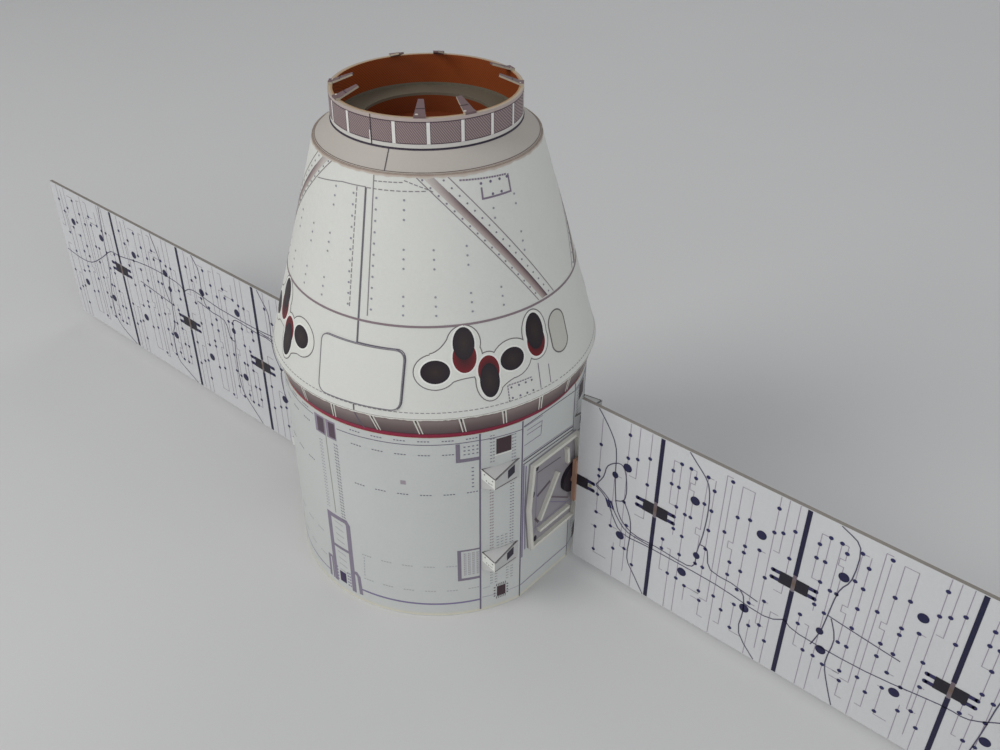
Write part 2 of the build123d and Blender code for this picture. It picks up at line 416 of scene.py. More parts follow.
def stadium(rx, ry, count=24):
    # a pill standing up: straight sides between two half rounds
    return [(u, v + math.copysign(ry - rx, v)) for u, v in ellipse(rx, rx, count)]


def blob(sheet, face, across, up, outline, tones, lift="mark", fade=1.0):
    # a filled outline of millimetre offsets about its middle, in one tone or in two that blend outwards
    wide, lean = face["scale"](up)
    middle, edge = tones if isinstance(tones[0], tuple) else (tones, tones)
    broad = max(abs(u) for u, v in outline) > drawing["broad"]  # wide fills bend with a round face
    rings = drawing["rings"] if broad or middle != edge else (1,)
    start, count = len(sheet["points"]), len(outline)
    addPoint(sheet, face, across, up, lift, middle)
    for ring in rings:
        for u, v in outline:
            tone = between(middle, edge, ring ** fade)
            addPoint(sheet, face, across + u * ring / wide, up + v * ring / lean, lift, tone)
    for n in range(count):
        after = (n + 1) % count
        addFace(sheet, face, (start, start + 1 + n, start + 1 + after))
        for ring in range(len(rings) - 1):
            inner, outer = start + 1 + ring * count, start + 1 + (ring + 1) * count
            addFace(sheet, face, (inner + n, outer + n, outer + after, inner + after))


def fillWeb(sheet, face, ends, edge, tone, lift):
    # the area between a straight line and a curve, in strips that bend with a round face
    rows = []
    for share in drawing["web"]:
        row = []
        for n, spot in enumerate(edge):
            row.append((*between(between(*ends, n / (len(edge) - 1)), spot, share), tone))
        rows.append(row)
    layRows(sheet, face, rows if edge[0][1] > ends[0][1] else rows[::-1], lift)


def dot(sheet, face, across, up, radius, tone):
    blob(sheet, face, across, up, ellipse(radius, radius, drawing["dotPoints"]), tone)


def along(face, path, spacing, start=0):
    # places every so many millimetres along a path
    points, left, found = walked(face, path), start, []
    for p, q in zip(points, points[1:]):
        wide, lean = face["scale"]((p[1] + q[1]) / 2)
        run = math.hypot((q[0] - p[0]) * wide, (q[1] - p[1]) * lean)
        while left <= run:
            found.append(between(p, q, left / run if run else 0))
            left += spacing
        left -= run
    return found


def dashed(sheet, face, path, width, tone, on, off):
    for p, q in zip(along(face, path, on + off), along(face, path, on + off, on)):
        stroke(sheet, face, [p, q], width, tone)


def ringLine(sheet, face, height, width, tone, lift="line"):
    stroke(sheet, face, [(0, height), (360, height)], width, tone, lift)


def same(across):
    return across


def drawLines(sheet, face, rows, tones, at=same):
    # rows of width, tone, lift and then the places that the line goes through
    for width, tone, lift, *places in rows:
        stroke(sheet, face, [(at(across), up) for across, up in places], width, tones[tone], lift)


def repeats(rows):
    # lines from rows of how often, the step across and up each time, and then the first line as above
    lines = []
    for count, across, up, width, tone, lift, *places in rows:
        for n in range(count):
            lines.append((width, tone, lift, *((u + across * n, v + up * n) for u, v in places)))
    return lines


def drawBoxes(sheet, face, rows, tones, at):
    # rows of left, right, low, high, tone and lift
    for left, right, low, high, tone, lift in rows:
        panel(sheet, face, (at(left), at(right)), (low, high), [tones[tone]] * 2, lift)


def inkMaterial(name, screen=None):
    # ink takes its colour from the film's own tones, broken up by the printer's specks
    material, tree, shader = newMaterial(name, paper["inkGloss"])
    place, grains = paperSurface(tree, shader, paper["inkRough"])
    tone = put(tree, "ShaderNodeVertexColor", layer_name="tone").outputs["Color"]
    if screen:
        tone = hatched(tree, place, tone, screen, paper["inkHatch"])
    tree.links.new(toned(tree, tone, grains, paper["inkGrain"]), shader.inputs["Base Color"])
    return material


def finishPrint(sheet, body, material):
    mesh = bpy.data.meshes.new(sheet["name"])
    mesh.from_pydata(sheet["points"], [], sheet["faces"])
    tones = mesh.color_attributes.new("tone", "FLOAT_COLOR", "POINT")
    tones.data.foreach_set("color", [level for tone in sheet["tones"] for level in tone])
    film = bpy.data.objects.new(sheet["name"], mesh)
    bpy.context.scene.collection.objects.link(film)
    thick = film.modifiers.new("ink", "SOLIDIFY")
    thick.thickness, thick.offset = inkDepth * mm, -1
    bpy.context.view_layer.update()
    solid = bpy.data.meshes.new_from_object(film.evaluated_get(bpy.context.evaluated_depsgraph_get()))
    film.modifiers.clear()
    film.data = solid
    solid.polygons.foreach_set("use_smooth", [True] * len(solid.polygons))
    solid.set_sharp_from_angle(angle=math.radians(drawing["sharpAngle"]))
    solid.materials.append(material)
    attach(film, body)


ink = inkMaterial("printInk")
hatchInk = inkMaterial("hatchInk", screen=(84, 66, 76))

# Cone: seam, panel lines, rivets and the ring line, drawn alike about the seam on both halves
cone = {
    "middles": (-74.2, 105.8),  # the seam's angle, and its copy half way round
    "ring": {"height": 20.3, "width": 0.5, "tone": printed(132, 117, 122)},
    "foot": {"height": 1.4, "width": 0.16, "on": 0.8, "off": 0.4},  # dashed: drawn length and gap
    "tones": {
        "seam": printed(104, 101, 108), "fine": printed(132, 128, 130), "rivet": printed(144, 144, 154)},
    # width, tone, lift, then places counted from the seam
    "lines": (
        (0.44, "seam", "line", (-0.6, 47.7), (0.7, 15.1)),
        (0.22, "fine", "line", (3, 50.8), (4, 21.5)),
        (0.2, "fine", "line", (-33, 45.7), (-14, 47.5), (-0.6, 47.8)),
    ),
    # drawn length, gap, then places counted from the seam
    "dashes": (
        (0.9, 0.35, (-5.3, 47.5), (-3.6, 21.5)),
        (0.9, 0.4, (0, 47.7), (28, 48)),
        (0.8, 0.3, (3, 49.3), (17, 49.6)),
        (0.8, 0.3, (17.5, 50), (27, 48.5), (30.5, 47.8)),
    ),
    "dashWidth": 0.2,
    "seamRivets": ((-6.8, -4.5, 46), (4.9, 5.3, 46)),  # angle at the top, at the foot, and top height
    "seamRivetCount": 11, "seamRivetGap": 2.3,
    # short upright rows of three either side of the seam: angle, then the rows' heights
    "rows": ((17.6, (44.2, 34.3, 24.6)), (29.6, (34.3, 24.6)), (43, (34.6, 24.8)), (55.4, (24.7,))),
    "rowGap": 1.95, "rivetSize": 0.25,
    "loose": ((69, (44.5, 42.5, 36.5, 34.5, 32.5)), (57, (43, 41))),  # angle, then heights
}


def printCone():
    sheet, rivets = newPrint("cone_lines"), newPrint("cone_rivets")
    tones, ring, foot = cone["tones"], cone["ring"], cone["foot"]
    ringLine(sheet, coneFace, ring["height"], ring["width"], ring["tone"], "mark")
    path = [(angle, foot["height"]) for angle in (0, 360)]
    dashed(sheet, coneFace, path, foot["width"], tones["fine"], foot["on"], foot["off"])
    for middle in cone["middles"]:

        def fromSeam(angle):
            return middle + angle

        drawLines(sheet, coneFace, cone["lines"], tones, fromSeam)
        for on, off, *places in cone["dashes"]:
            path = [(fromSeam(angle), height) for angle, height in places]
            dashed(sheet, coneFace, path, cone["dashWidth"], tones["fine"], on, off)
        places = []
        for high, low, top in cone["seamRivets"]:
            for n in range(cone["seamRivetCount"]):
                share = n / (cone["seamRivetCount"] - 1)
                places.append((high + (low - high) * share, top - cone["seamRivetGap"] * n))
        for offset, levels in cone["rows"]:
            for level in levels:
                for n in (-1, 0, 1):
                    places += [(side * offset, level + n * cone["rowGap"]) for side in (1, -1)]
        for angle, heights in cone["loose"]:
            places += [(angle, height) for height in heights]
        for angle, height in places:
            dot(rivets, coneFace, fromSeam(angle), height, cone["rivetSize"], tones["rivet"])
    finishPrint(sheet, "capsule", ink)
    finishPrint(rivets, "capsule", ink)


# Raceways: a shaded channel between two rivet strips, straight on the flat sheet that the cone is rolled from
raceway = {
    "top": (32.7, 49.8), "foot": (76.1, 21.0), "limits": (20.7, 50.9), "parts": 26,
    "tries": 10, "reach": 1.1,  # places tried for each part, and half the run that they cover
    # millimetres to the side of the dark edge, and tone
    "channel": ((-1.6, (184, 174, 168)), (-1.0, (160, 144, 140)), (-0.4, (126, 108, 108)), (0, (86, 70, 76))),
    "faded": (205, 204, 198), "fadeFrom": 0.35, "fadeRun": 9,  # the tone at the top, and how soon it darkens
    "edgeFrom": 3, "edgeWidth": (0.12, 0.24), "edgeTone": printed(72, 58, 66),
    "fineOffsets": (-2.5, 2.1), "fineWidth": 0.2, "fineTone": printed(132, 124, 126),
    "rivetOffsets": (-2.0, 1.0), "rivetStart": 1, "rivetGap": 2.3, "rivetSize": 0.22,
    "rivetTone": printed(126, 120, 132),
}


def racewayPath(middle, way, offset):
    # on the unrolled cone the raceway is a straight line, moved sideways here by an offset
    apex = -coneFace["radius"](0) / coneFace["slope"]
    lean = coneFace["lean"]
    share = -coneFace["slope"] / lean

    def flat(angle, height):
        turn, away = math.radians(angle) * share, (apex - height) * lean
        return Vector((away * math.sin(turn), away * math.cos(turn)))

    start, end = flat(*raceway["top"]), flat(*raceway["foot"])
    run = end - start
    aside = Vector((run.y, -run.x)).normalized() * offset
    low, high = raceway["limits"]
    parts, tries, reach = raceway["parts"], raceway["tries"], raceway["reach"]
    found = []
    for n in range(tries * parts + 1):
        spot = start + aside + run * (reach * n / (tries / 2) / parts - reach / 2)
        height = apex - spot.length / lean
        if low <= height <= high:
            found.append((middle + way * math.degrees(math.atan2(spot.x, spot.y) / share), height))
    return [found[round(n * (len(found) - 1) / parts)] for n in range(parts + 1)]


def printRaceways():
    sheet, rivets = newPrint("raceway_channels"), newPrint("raceway_rivets")
    for middle in cone["middles"]:
        for way in (1, -1):
            rows = []
            for offset, tone in raceway["channel"]:
                row = []
                for n, spot in enumerate(racewayPath(middle, way, offset)):
                    strength = min(1, raceway["fadeFrom"] + n / raceway["fadeRun"])
                    row.append((*spot, printed(*between(raceway["faded"], tone, strength))))
                rows.append(row)
            layRows(sheet, coneFace, rows[::-1] if way > 0 else rows, "area")
            edge = racewayPath(middle, way, 0)[raceway["edgeFrom"]:]
            stroke(sheet, coneFace, edge, raceway["edgeWidth"], raceway["edgeTone"])
            for offset in raceway["fineOffsets"]:
                path = racewayPath(middle, way, offset)
                stroke(sheet, coneFace, path, raceway["fineWidth"], raceway["fineTone"])
            for offset in raceway["rivetOffsets"]:
                path = racewayPath(middle, way, offset)
                for spot in along(coneFace, path, raceway["rivetGap"], raceway["rivetStart"]):
                    dot(rivets, coneFace, *spot, raceway["rivetSize"], raceway["rivetTone"])
    finishPrint(sheet, "capsule", ink)
    finishPrint(rivets, "capsule", ink)


# Small riveted covers on the cone, each (from angle, to angle, low, high) counted from the seam
covers = {
    "upper": (52.5, 67.4, 45.3, 48.9), "lower": (52.7, 63.0, 1.3, 5.1),
    "upperRivets": ((0, 0.86), (0.33, 0.86), (0.66, 0.86), (0.94, 0.86), (0.35, 0.15), (0.66, 0.15)),
    "lowerRivets": [(across, up) for across in (0.12, 0.4, 0.66, 0.9) for up in (0.18, 0.82)],
    "rivetSizes": {"upper": 0.3, "lower": 0.25},
    "tone": printed(124, 112, 128), "dotTone": printed(104, 96, 118),
    # the upper cover's line stops this far below its top on the left, and a dashed line comes in over it
    "upperStop": 1.3, "upperWidth": 0.4, "overFrom": (-10, 0.8), "overDashes": (0.35, 0.5, 0.15),
    "lowerDashes": (0.25, 0.5, 0.2),  # width, drawn length and gap
}


def printCovers():
    sheet, tone = newPrint("cone_covers"), covers["tone"]
    for middle in cone["middles"]:
        for name, size in covers["rivetSizes"].items():
            left, right, low, high = covers[name]
            left, right = middle + left, middle + right
            if name == "upper":
                path = [(left, high - covers["upperStop"]), (left, low), (right, low), (right, high)]
                stroke(sheet, coneFace, path, covers["upperWidth"], tone)
                across, up = covers["overFrom"]
                path, dashes = [(left + across, high + up), (right, high)], covers["overDashes"]
            else:
                path, dashes = [(left, low), (left, high), (right, high)], covers["lowerDashes"]
            width, on, off = dashes
            dashed(sheet, coneFace, path, width, tone, on, off)
            for across, up in covers[name + "Rivets"]:
                spot = (left + (right - left) * across, low + (high - low) * up)
                dot(sheet, coneFace, *spot, size, covers["dotTone"])
    finishPrint(sheet, "capsule", ink)


# Thruster openings: dark ovals, and pairs of a dark oval that runs into a red one. The grey outline goes
# round each group at a distance, with soft webs between its members.
thrusters = {
    "groups": ((0, True), (180, True), (-81.9, False), (98.1, False)),  # turn, and whether with the last pair
    # angle, height, half width, half height, and the outline's distance across and up
    "ovals": ((-45.7, 10.5, 3.25, 2.7, 1.4, 1.3), (-18.4, 10.7, 3.0, 2.65, 2.0, 1.8)),
    # angle, (height, half width, half height) of the dark and the red oval, and the two distances
    "pairs": ((-35.5, (16.3, 2.4, 3.7), (13.3, 2.65, 3.6), 1.25, 0.3),
              (-27.5, (7.3, 2.3, 4.0), (9.6, 2.5, 3.4), 0.8, 0.75)),
    "lastPair": (-7.6, (14.8, 2.5, 4.3), (12.5, 2.6, 3.6), 0.9, 0.6),
    # a web's two inner corners, then its soft edge's start, corner and end
    "webs": (((-44, 11.5), (-37.5, 16), (-47.5, 14.4), (-42.8, 15), (-39.5, 19.2)),
             ((-40.5, 10.5), (-32, 10.5), (-40.5, 8), (-38.5, 8.8), (-32, 8.8)),
             ((-25.5, 9), (-19, 9.5), (-24, 4.8), (-21.5, 6.2), (-17.5, 6.6))),
    "lineWidth": 0.24, "lineTone": printed(110, 104, 106), "fillTone": printed(217, 218, 211),
    "rim": 0.38, "rimTone": printed(230, 230, 224),
    "dark": (printed(50, 38, 34), printed(27, 17, 28)), "darkFade": 0.8,  # how soon it turns to the second
    "red": (printed(44, 8, 14), printed(112, 10, 24)), "redFade": 1.4,
    "outlinePoints": 32, "ovalPoints": 28, "webSteps": 8,
    "pill": (4.1, 11.8, 3.0, 5.1), "pillTone": printed(194, 193, 184),
    "pillLine": printed(104, 98, 98), "pillWidth": 0.32,
    "fins": ((-8.5, 7.5, 1.7), (-4.0, 6.1, 1.8)),  # angle, top and foot of the two lines under the last pair
    "finLean": -0.5, "finWidth": 0.2,
}


def printOutline(sheet, turn, ovals):
    # every oval grown to the outline in the line's tone, and over them the same, less the line, in card tone
    width = thrusters["lineWidth"]
    for grow, tone, lift in ((width, "lineTone", "area"), (0, "fillTone", "line")):
        for angle, height, rx, ry, across, up in ovals:
            shape = ellipse(rx + across + grow, ry + up + grow, thrusters["outlinePoints"])
            blob(sheet, coneFace, angle + turn, height, shape, thrusters[tone], lift)
    for web in thrusters["webs"]:
        left, right, *edge = [(angle + turn, height) for angle, height in web]
        curve = bent(*edge, steps=thrusters["webSteps"])
        stroke(sheet, coneFace, curve, 2 * width, thrusters["lineTone"], "area")
        fillWeb(sheet, coneFace, (left, right), curve, thrusters["fillTone"], "line")


def printThrusters():
    sheet = newPrint("thruster_openings")
    for turn, whole in thrusters["groups"]:

        def oval(angle, height, rx, ry, kind, lift):
            shape, fade = ellipse(rx, ry, thrusters["ovalPoints"]), thrusters[kind + "Fade"]
            blob(sheet, coneFace, angle + turn, height, shape, thrusters[kind], lift, fade)

        pairs = list(thrusters["pairs"]) + ([thrusters["lastPair"]] if whole else [])
        ovals = list(thrusters["ovals"])
        for angle, dark, red, across, up in pairs:
            ovals += [(angle, *dark, across, up), (angle, *red, across, up)]
        printOutline(sheet, turn, ovals)
        rim = thrusters["rim"]
        for angle, height, rx, ry, *_ in ovals:
            shape = ellipse(rx + rim, ry + rim, thrusters["ovalPoints"])
            blob(sheet, coneFace, angle + turn, height, shape, thrusters["rimTone"])
        for angle, height, rx, ry, *_ in thrusters["ovals"]:
            oval(angle, height, rx, ry, "dark", "over")
        for angle, dark, red, *_ in pairs:
            oval(angle, *red, "red", "over")
            oval(angle, *dark, "dark", "top")
        if whole:
            printPill(sheet, turn)
    finishPrint(sheet, "capsule", ink)


def printPill(sheet, turn):
    angle, height, rx, ry = thrusters["pill"]
    pill = stadium(rx, ry)
    blob(sheet, coneFace, angle + turn, height, pill, thrusters["pillTone"], "area")
    wide, lean = coneFace["scale"](height)
    edge = [(angle + turn + u / wide, height + v / lean) for u, v in pill]
    stroke(sheet, coneFace, edge, thrusters["pillWidth"], thrusters["pillLine"], closed=True)
    for angle, top, foot in thrusters["fins"]:
        path = [(angle + turn, top), (angle + turn + thrusters["finLean"], foot)]
        stroke(sheet, coneFace, path, thrusters["finWidth"], covers["tone"])


# Bay door: a thin printed outline on the door, and the paper seam round its top and right side, drawn dark
# there as painted shadow of the door's raised edge
door = {
    "angle": -72.3, "halfAngle": 16.0, "corner": 2.4, "inset": 0.14, "lineWidth": 0.24,
    "lineTone": printed(122, 118, 124), "gapOut": 0.1, "gapWidth": 0.2, "gapFrom": -59, "gapStart": -1.3,
    "gapTone": printed(96, 92, 104),
    # the seam under the door and down over the bevel band
    "seamWidth": 0.35, "seamFoot": ((-73.2, 1.4), (-72.9, 0.1)),
    "seamBand": ((-73, 6.5), (-72.2, 3.2), (-70.9, 1)),
}


def doorEdge(face, grow):
    low, high = (corner.z - beltTop.z for corner in corners("bay_door"))
    middle, tall = (low + high) / 2, (high - low) / 2 + grow
    half = coneFace["radius"](middle) * math.sin(math.radians(door["halfAngle"])) + grow
    box = [(-half, -tall), (half, -tall), (half, tall), (-half, tall)]
    edge = []
    for across, up in rounded(box, door["corner"] + grow):
        turn = math.degrees(math.asin(across / face["radius"](middle + up)))
        edge.append((door["angle"] + turn, middle + up))
    return edge


def printDoor():
    sheet = newPrint("door_outline")
    outline = doorEdge(doorFace, -door["inset"])
    stroke(sheet, doorFace, outline, door["lineWidth"], door["lineTone"], closed=True)
    edge = doorEdge(coneFace, door["gapOut"])
    quarter = len(edge) // 4
    top = edge[2 * quarter:3 * quarter][-1]
    right = [spot for spot in edge[quarter:3 * quarter] if spot[0] > door["gapFrom"]]
    gap = [*right, (door["angle"] + door["gapStart"], top[1])]
    # painted shadow: the dark line along the door's right side and top
    stroke(sheet, coneFace, gap, door["gapWidth"], door["gapTone"], "mark")
    stroke(sheet, coneFace, door["seamFoot"], door["seamWidth"], door["gapTone"])
    stroke(sheet, bandFace, door["seamBand"], door["seamWidth"], door["gapTone"], "mark")
    finishPrint(sheet, "capsule", ink)


# Bevel band: shaded fields between slanting pairs of pale lines, over a crimson foot line
bevel = {
    "firstRib": -9.9, "ribs": 25, "ribTone": printed(224, 222, 212), "ribWidth": (0.39, 0.22), "ribGap": 1.1,
    "ribHeights": (6.35, 1.4), "slant": 1.5, "seam": -73.0,
    # the dark nick between a pair of ribs: below their tops, its slant in degrees, its width and tone
    "nickDrop": (0.1, 1.2), "nickSlant": 0.3, "nickWidth": 0.35, "nickTone": printed(54, 44, 50),
    "fieldTones": ((78, 56, 62), (94, 76, 78), (114, 98, 97), (136, 122, 119), (126, 112, 110)),
    "fieldHeights": (0.6, 2.0, 3.8, 5.4, 6.3), "fieldChange": 7,
    "crimson": ((150, 22, 62), (104, 20, 40)), "crimsonHeights": (0.02, 0.75), "crimsonStep": 3,
    "crimsonShade": printed(70, 22, 40),
    "brightSide": -100,  # the angle where the crimson line is widest, and brightest as painted light falling from that side
    "swell": 0.35, "shade": (0.3, 0.5),  # its rise there; the shade over it, everywhere and more there
    "tornTones": (printed(226, 224, 214), printed(232, 230, 222)), "tornHeight": 6.2,
    "tornChange": (-0.16, 0.1), "tornTop": 0.02,
}


def printBevel():
    sheet = newPrint("bevel_print")
    gap = 360 / bevel["ribs"]
    for n in range(bevel["ribs"]):
        angle = bevel["firstRib"] - gap * n
        change = random.uniform(-bevel["fieldChange"], bevel["fieldChange"])
        tones = [printed(*[level + change for level in tone]) for tone in bevel["fieldTones"]]
        panel(sheet, bandFace, (angle - gap, angle), bevel["fieldHeights"], tones)
        turn = (angle - bevel["seam"] + 180) % 360 - 180
        slant = bevel["slant"] * (1 if turn % 180 < 90 else -1)
        high, low = bevel["ribHeights"]
        for top in (angle, angle + bevel["ribGap"]):
            path = [(top, high), (top + slant, low)]
            stroke(sheet, bandFace, path, bevel["ribWidth"], bevel["ribTone"], "mark")
        nick, (start, end) = angle + bevel["ribGap"] / 2, bevel["nickDrop"]
        path = [(nick, high - start), (nick + math.copysign(bevel["nickSlant"], slant), high - end)]
        stroke(sheet, bandFace, path, bevel["nickWidth"], bevel["nickTone"], "mark")
    low, high = bevel["crimsonHeights"]
    bright, dull = (printed(*tone) for tone in bevel["crimson"])
    least, more = bevel["shade"]
    rows = [[], [], []]
    # painted light and shade: the crimson line's tone goes from its shaded tone to its lit tone towards the
    # lit side
    for angle in range(0, 361, bevel["crimsonStep"]):
        share = 0.5 + 0.5 * math.cos(math.radians(angle - bevel["brightSide"]))
        rows[0].append((angle, low, between(dull, bright, share)))
        rows[1].append((angle, high + bevel["swell"] * share, between(dull, bright, share)))
        rows[2].append((angle, high + least + more * share, bevel["crimsonShade"]))
    layRows(sheet, bandFace, rows, "line")
    # the torn lower edge of the cone's card
    torn, (lowTone, highTone) = [[], []], bevel["tornTones"]
    for angle in range(361):
        torn[0].append((angle, bevel["tornHeight"] + random.uniform(*bevel["tornChange"]), lowTone))
        torn[1].append((angle, bandFace["tall"] - bevel["tornTop"], highTone))
    layRows(sheet, bandFace, torn, "over")
    finishPrint(sheet, "capsule", ink)


# Cone top: the raw brown edge of the card round the shoulder, the shoulder's seams, and dark lines of painted
# shadow along its lower and upper edges
rawEdge = {
    # the pale tear, the brown line and the top: tone, millimetres below the cone's top, and how ragged
    "rows": ((printed(200, 192, 182), 0.7, 1), (printed(176, 162, 150), 0.3, 0.4),
             (printed(128, 108, 98), 0.02, 0)),
    "waves": ((3, 0.05), (7, 0.05), (19, 0.06), (43, 0.06), (71, 0.05)),  # how often round, and how far
    # on the shoulder, lines of painted shadow over the cone's cut edge and under the collar: millimetres in
    # from its lower and upper edge, and line width
    "lowLine": (0.15, 0.16), "lowTone": printed(104, 88, 84),
    "highLine": (0.1, 0.22), "highTone": printed(62, 52, 66),
    # angles of the seams at the top, and how far aside in degrees and how high they end
    "seams": (-67.4, 112.6), "seamFoot": (0.9, 0.1), "seamWidth": 0.22, "seamTone": printed(70, 66, 72),
}


def printShoulder():
    sheet, lines = newPrint("shoulder_edge"), newPrint("shoulder_lines")
    starts = [random.uniform(0, 360) for _ in rawEdge["waves"]]
    rows, top = [[] for _ in rawEdge["rows"]], coneFace["tall"]
    for angle in range(361):
        ragged = sum(size * math.sin(math.radians(times * angle + start))
                     for (times, size), start in zip(rawEdge["waves"], starts))
        for row, (tone, below, share) in zip(rows, rawEdge["rows"]):
            row.append((angle, top - below + ragged * share, tone))
    layRows(sheet, coneFace, rows, "mark")
    inset, width = rawEdge["highLine"]
    high = shoulderFace["tall"] - inset
    ringLine(lines, shoulderFace, *rawEdge["lowLine"], rawEdge["lowTone"])
    ringLine(lines, shoulderFace, high, width, rawEdge["highTone"])
    across, foot = rawEdge["seamFoot"]
    for seam in rawEdge["seams"]:
        path = [(seam, high), (seam + across, foot)]
        stroke(lines, shoulderFace, path, rawEdge["seamWidth"], rawEdge["seamTone"], "mark")
    finishPrint(sheet, "capsule", ink)
    finishPrint(lines, "capsule", ink)


# Docking collar: hatched fields between pale bars, under a plain rim band, with a line of painted shadow at
# its foot
collar = {
    "bars": [-96.1 - 19.3 * n for n in range(18)], "barWidth": 0.8, "barTone": printed(226, 224, 220),
    "barFoot": 0.1,  # how far the bars run down past the fields
    "fringe": 1.15, "fringeWidth": 0.12,  # fine lines at this angle either side of a bar
    "seam": -78.2, "seamFoot": 0.1, "seamWidth": 0.2, "seamTone": printed(48, 42, 50),
    "sliver": (-79.0, 0.6, 3.2), "sliverWidth": 0.22,  # torn card beside the seam: angle, foot and top
    "fields": (1.25, 5.75), "fieldTone": printed(158, 140, 138),
    "rimBand": (5.8, 6.6), "rimTone": printed(180, 166, 160),
    "edgeOut": 0.05, "edgeWidths": (0.18, 0.22), "lineTone": printed(76, 60, 70),  # outside the fields
    # painted shadow: a dark line at the collar's foot where it stands on the shoulder, as height and width,
    # then tone
    "footLine": (0.12, 0.24), "footTone": printed(44, 36, 50),
}


def printCollar():
    sheet, fields = newPrint("collar_bars"), newPrint("collar_fields")
    low, high = collar["fields"]
    panel(sheet, collarFace, (0, 360), collar["rimBand"], [collar["rimTone"]] * 2)
    panel(fields, collarFace, (0, 360), (low, high), [collar["fieldTone"]] * 2)
    lowWidth, highWidth = collar["edgeWidths"]
    ringLine(sheet, collarFace, high + collar["edgeOut"], highWidth, collar["lineTone"])
    ringLine(sheet, collarFace, low - collar["edgeOut"], lowWidth, collar["lineTone"])
    ringLine(sheet, collarFace, *collar["footLine"], collar["footTone"])

    def upright(angle, foot, top, kind, tone, lift):
        stroke(sheet, collarFace, [(angle, foot), (angle, top)], collar[kind + "Width"], collar[tone], lift)

    for angle in collar["bars"]:
        upright(angle, low - collar["barFoot"], high, "bar", "barTone", "mark")
        for edge in (angle - collar["fringe"], angle + collar["fringe"]):
            upright(edge, low, high, "fringe", "lineTone", "mark")
    upright(collar["seam"], collar["seamFoot"], collarFace["tall"], "seam", "seamTone", "over")
    upright(*collar["sliver"], "sliver", "barTone", "over")
    finishPrint(sheet, "capsule", ink)
    finishPrint(fields, "capsule", hatchInk)


# Guide petals: a dark line of painted shade across each blade where it folds, and a pale scuff on its foot
petal = {
    "lean": 20, "card": 0.4,
    "creaseAt": 2.2, "creaseHalf": 0.95, "creaseWidth": 0.2, "creaseTone": printed(58, 44, 48),
    "scuff": (-0.7, 0.4), "scuffSize": (0.38, 0.228), "scuffPoints": 7, "scuffTone": printed(196, 186, 176),
}


def printPetals():
    sheet = newPrint("petal_creases")
    lean = math.radians(petal["lean"])
    reach = corners("collar_liner")[1].x
    for name in petals:
        low, high = corners(name)
        outward = Vector(((low.x + high.x) / 2, (low.y + high.y) / 2, 0)).normalized()
        across = Vector((-outward.y, outward.x, 0))
        upward = Vector((0, 0, math.sin(lean))) - outward * math.cos(lean)
        foot = outward * reach + Vector((0, 0, collarTop.z)) + across.cross(upward) * petal["card"]
        face = flatFace(foot, across, upward)
        half, height = petal["creaseHalf"], petal["creaseAt"]
        stroke(sheet, face, [(-half, height), (half, height)], petal["creaseWidth"], petal["creaseTone"])
        scuff = ellipse(*petal["scuffSize"], petal["scuffPoints"])
        blob(sheet, face, *petal["scuff"], scuff, petal["scuffTone"])
    finishPrint(sheet, "capsule", ink)


# Trunk: rows of printed dashes, boxes, ladders and the violet foot line. The rear half repeats the front one,
# and in a half the strip beside one facet mirrors the strip beside the other.
trunk = {
    "halves": (0, 180), "ends": (-165, -15),
    "tones": {
        "violet": printed(126, 116, 148), "grey": printed(124, 118, 130), "dash": printed(110, 106, 122),
        "pale": printed(158, 156, 166), "dark": printed(62, 44, 50), "line": printed(108, 102, 120),
        "edge": printed(96, 86, 108), "white": printed(226, 226, 218), "frame": printed(124, 116, 130),
        "warm": printed(140, 118, 126), "ladder": printed(132, 123, 140), "window": printed(142, 130, 148),
        "glass": printed(86, 70, 82), "socket": printed(54, 38, 78), "block": printed(160, 150, 158),
        "fade": printed(188, 188, 190), "olive": printed(150, 148, 138)},
    "foot": ((0.25, 0.8, 1.3), ((214, 208, 186), (205, 203, 190), (199, 200, 194))),
    "dashRows": ((57, 1), (53, 1), (41, 1), (17.5, 0.4), (9, 0.4)),  # height, and how dark it is printed
    "firstDash": -34.2, "dashPitch": 8.2, "dashGroups": 14,
    "dashStart": -2, "dashCount": 4, "dashLength": 0.7, "dashStep": 1.1, "dashWidth": 0.26,
    "bareMiddle": (-96, -80), "bareEnds": (-139, -41), "bareRows": (53, 17.5),
    "rungPitch": 0.95, "rungParts": 2, "rungShare": 0.7, "rungWidth": 0.22,  # dashes side by side in ladders
}
# width, tone, lift, then (angle, height) places
trunk["rings"] = (
    (0.28, "violet", "line", (-165, 4.3), (-96, 4.3)),
    (0.55, "violet", "line", (-79.2, 4.3), (-31.6, 4.4)),
    (0.18, "line", "line", (-165, 56.1), (-95, 56.1)),
    (0.2, "line", "line", (-83, 55.6), (-70, 55.9), (-31.3, 56.1)),
)
trunk["stripLines"] = (
    (0.42, "line", "line", (-31.3, 57.9), (-31.5, 33), (-31.7, 0.7)),
    (0.36, "edge", "line", (-15, 57.9), (-15, 0.4)),
    # painted highlight: a pale line along the lower edge of the upper dark box
    (0.3, "white", "mark", (-26, 50.6), (-19.3, 50.6)),
    (0.2, "line", "line", (-31, 56), (-15.2, 55.6)),
    (0.18, "pale", "line", (-31, 4.9), (-15.2, 4.4)),
    (0.16, "pale", "line", (-30.6, 8), (-27.8, 8.2)),
)
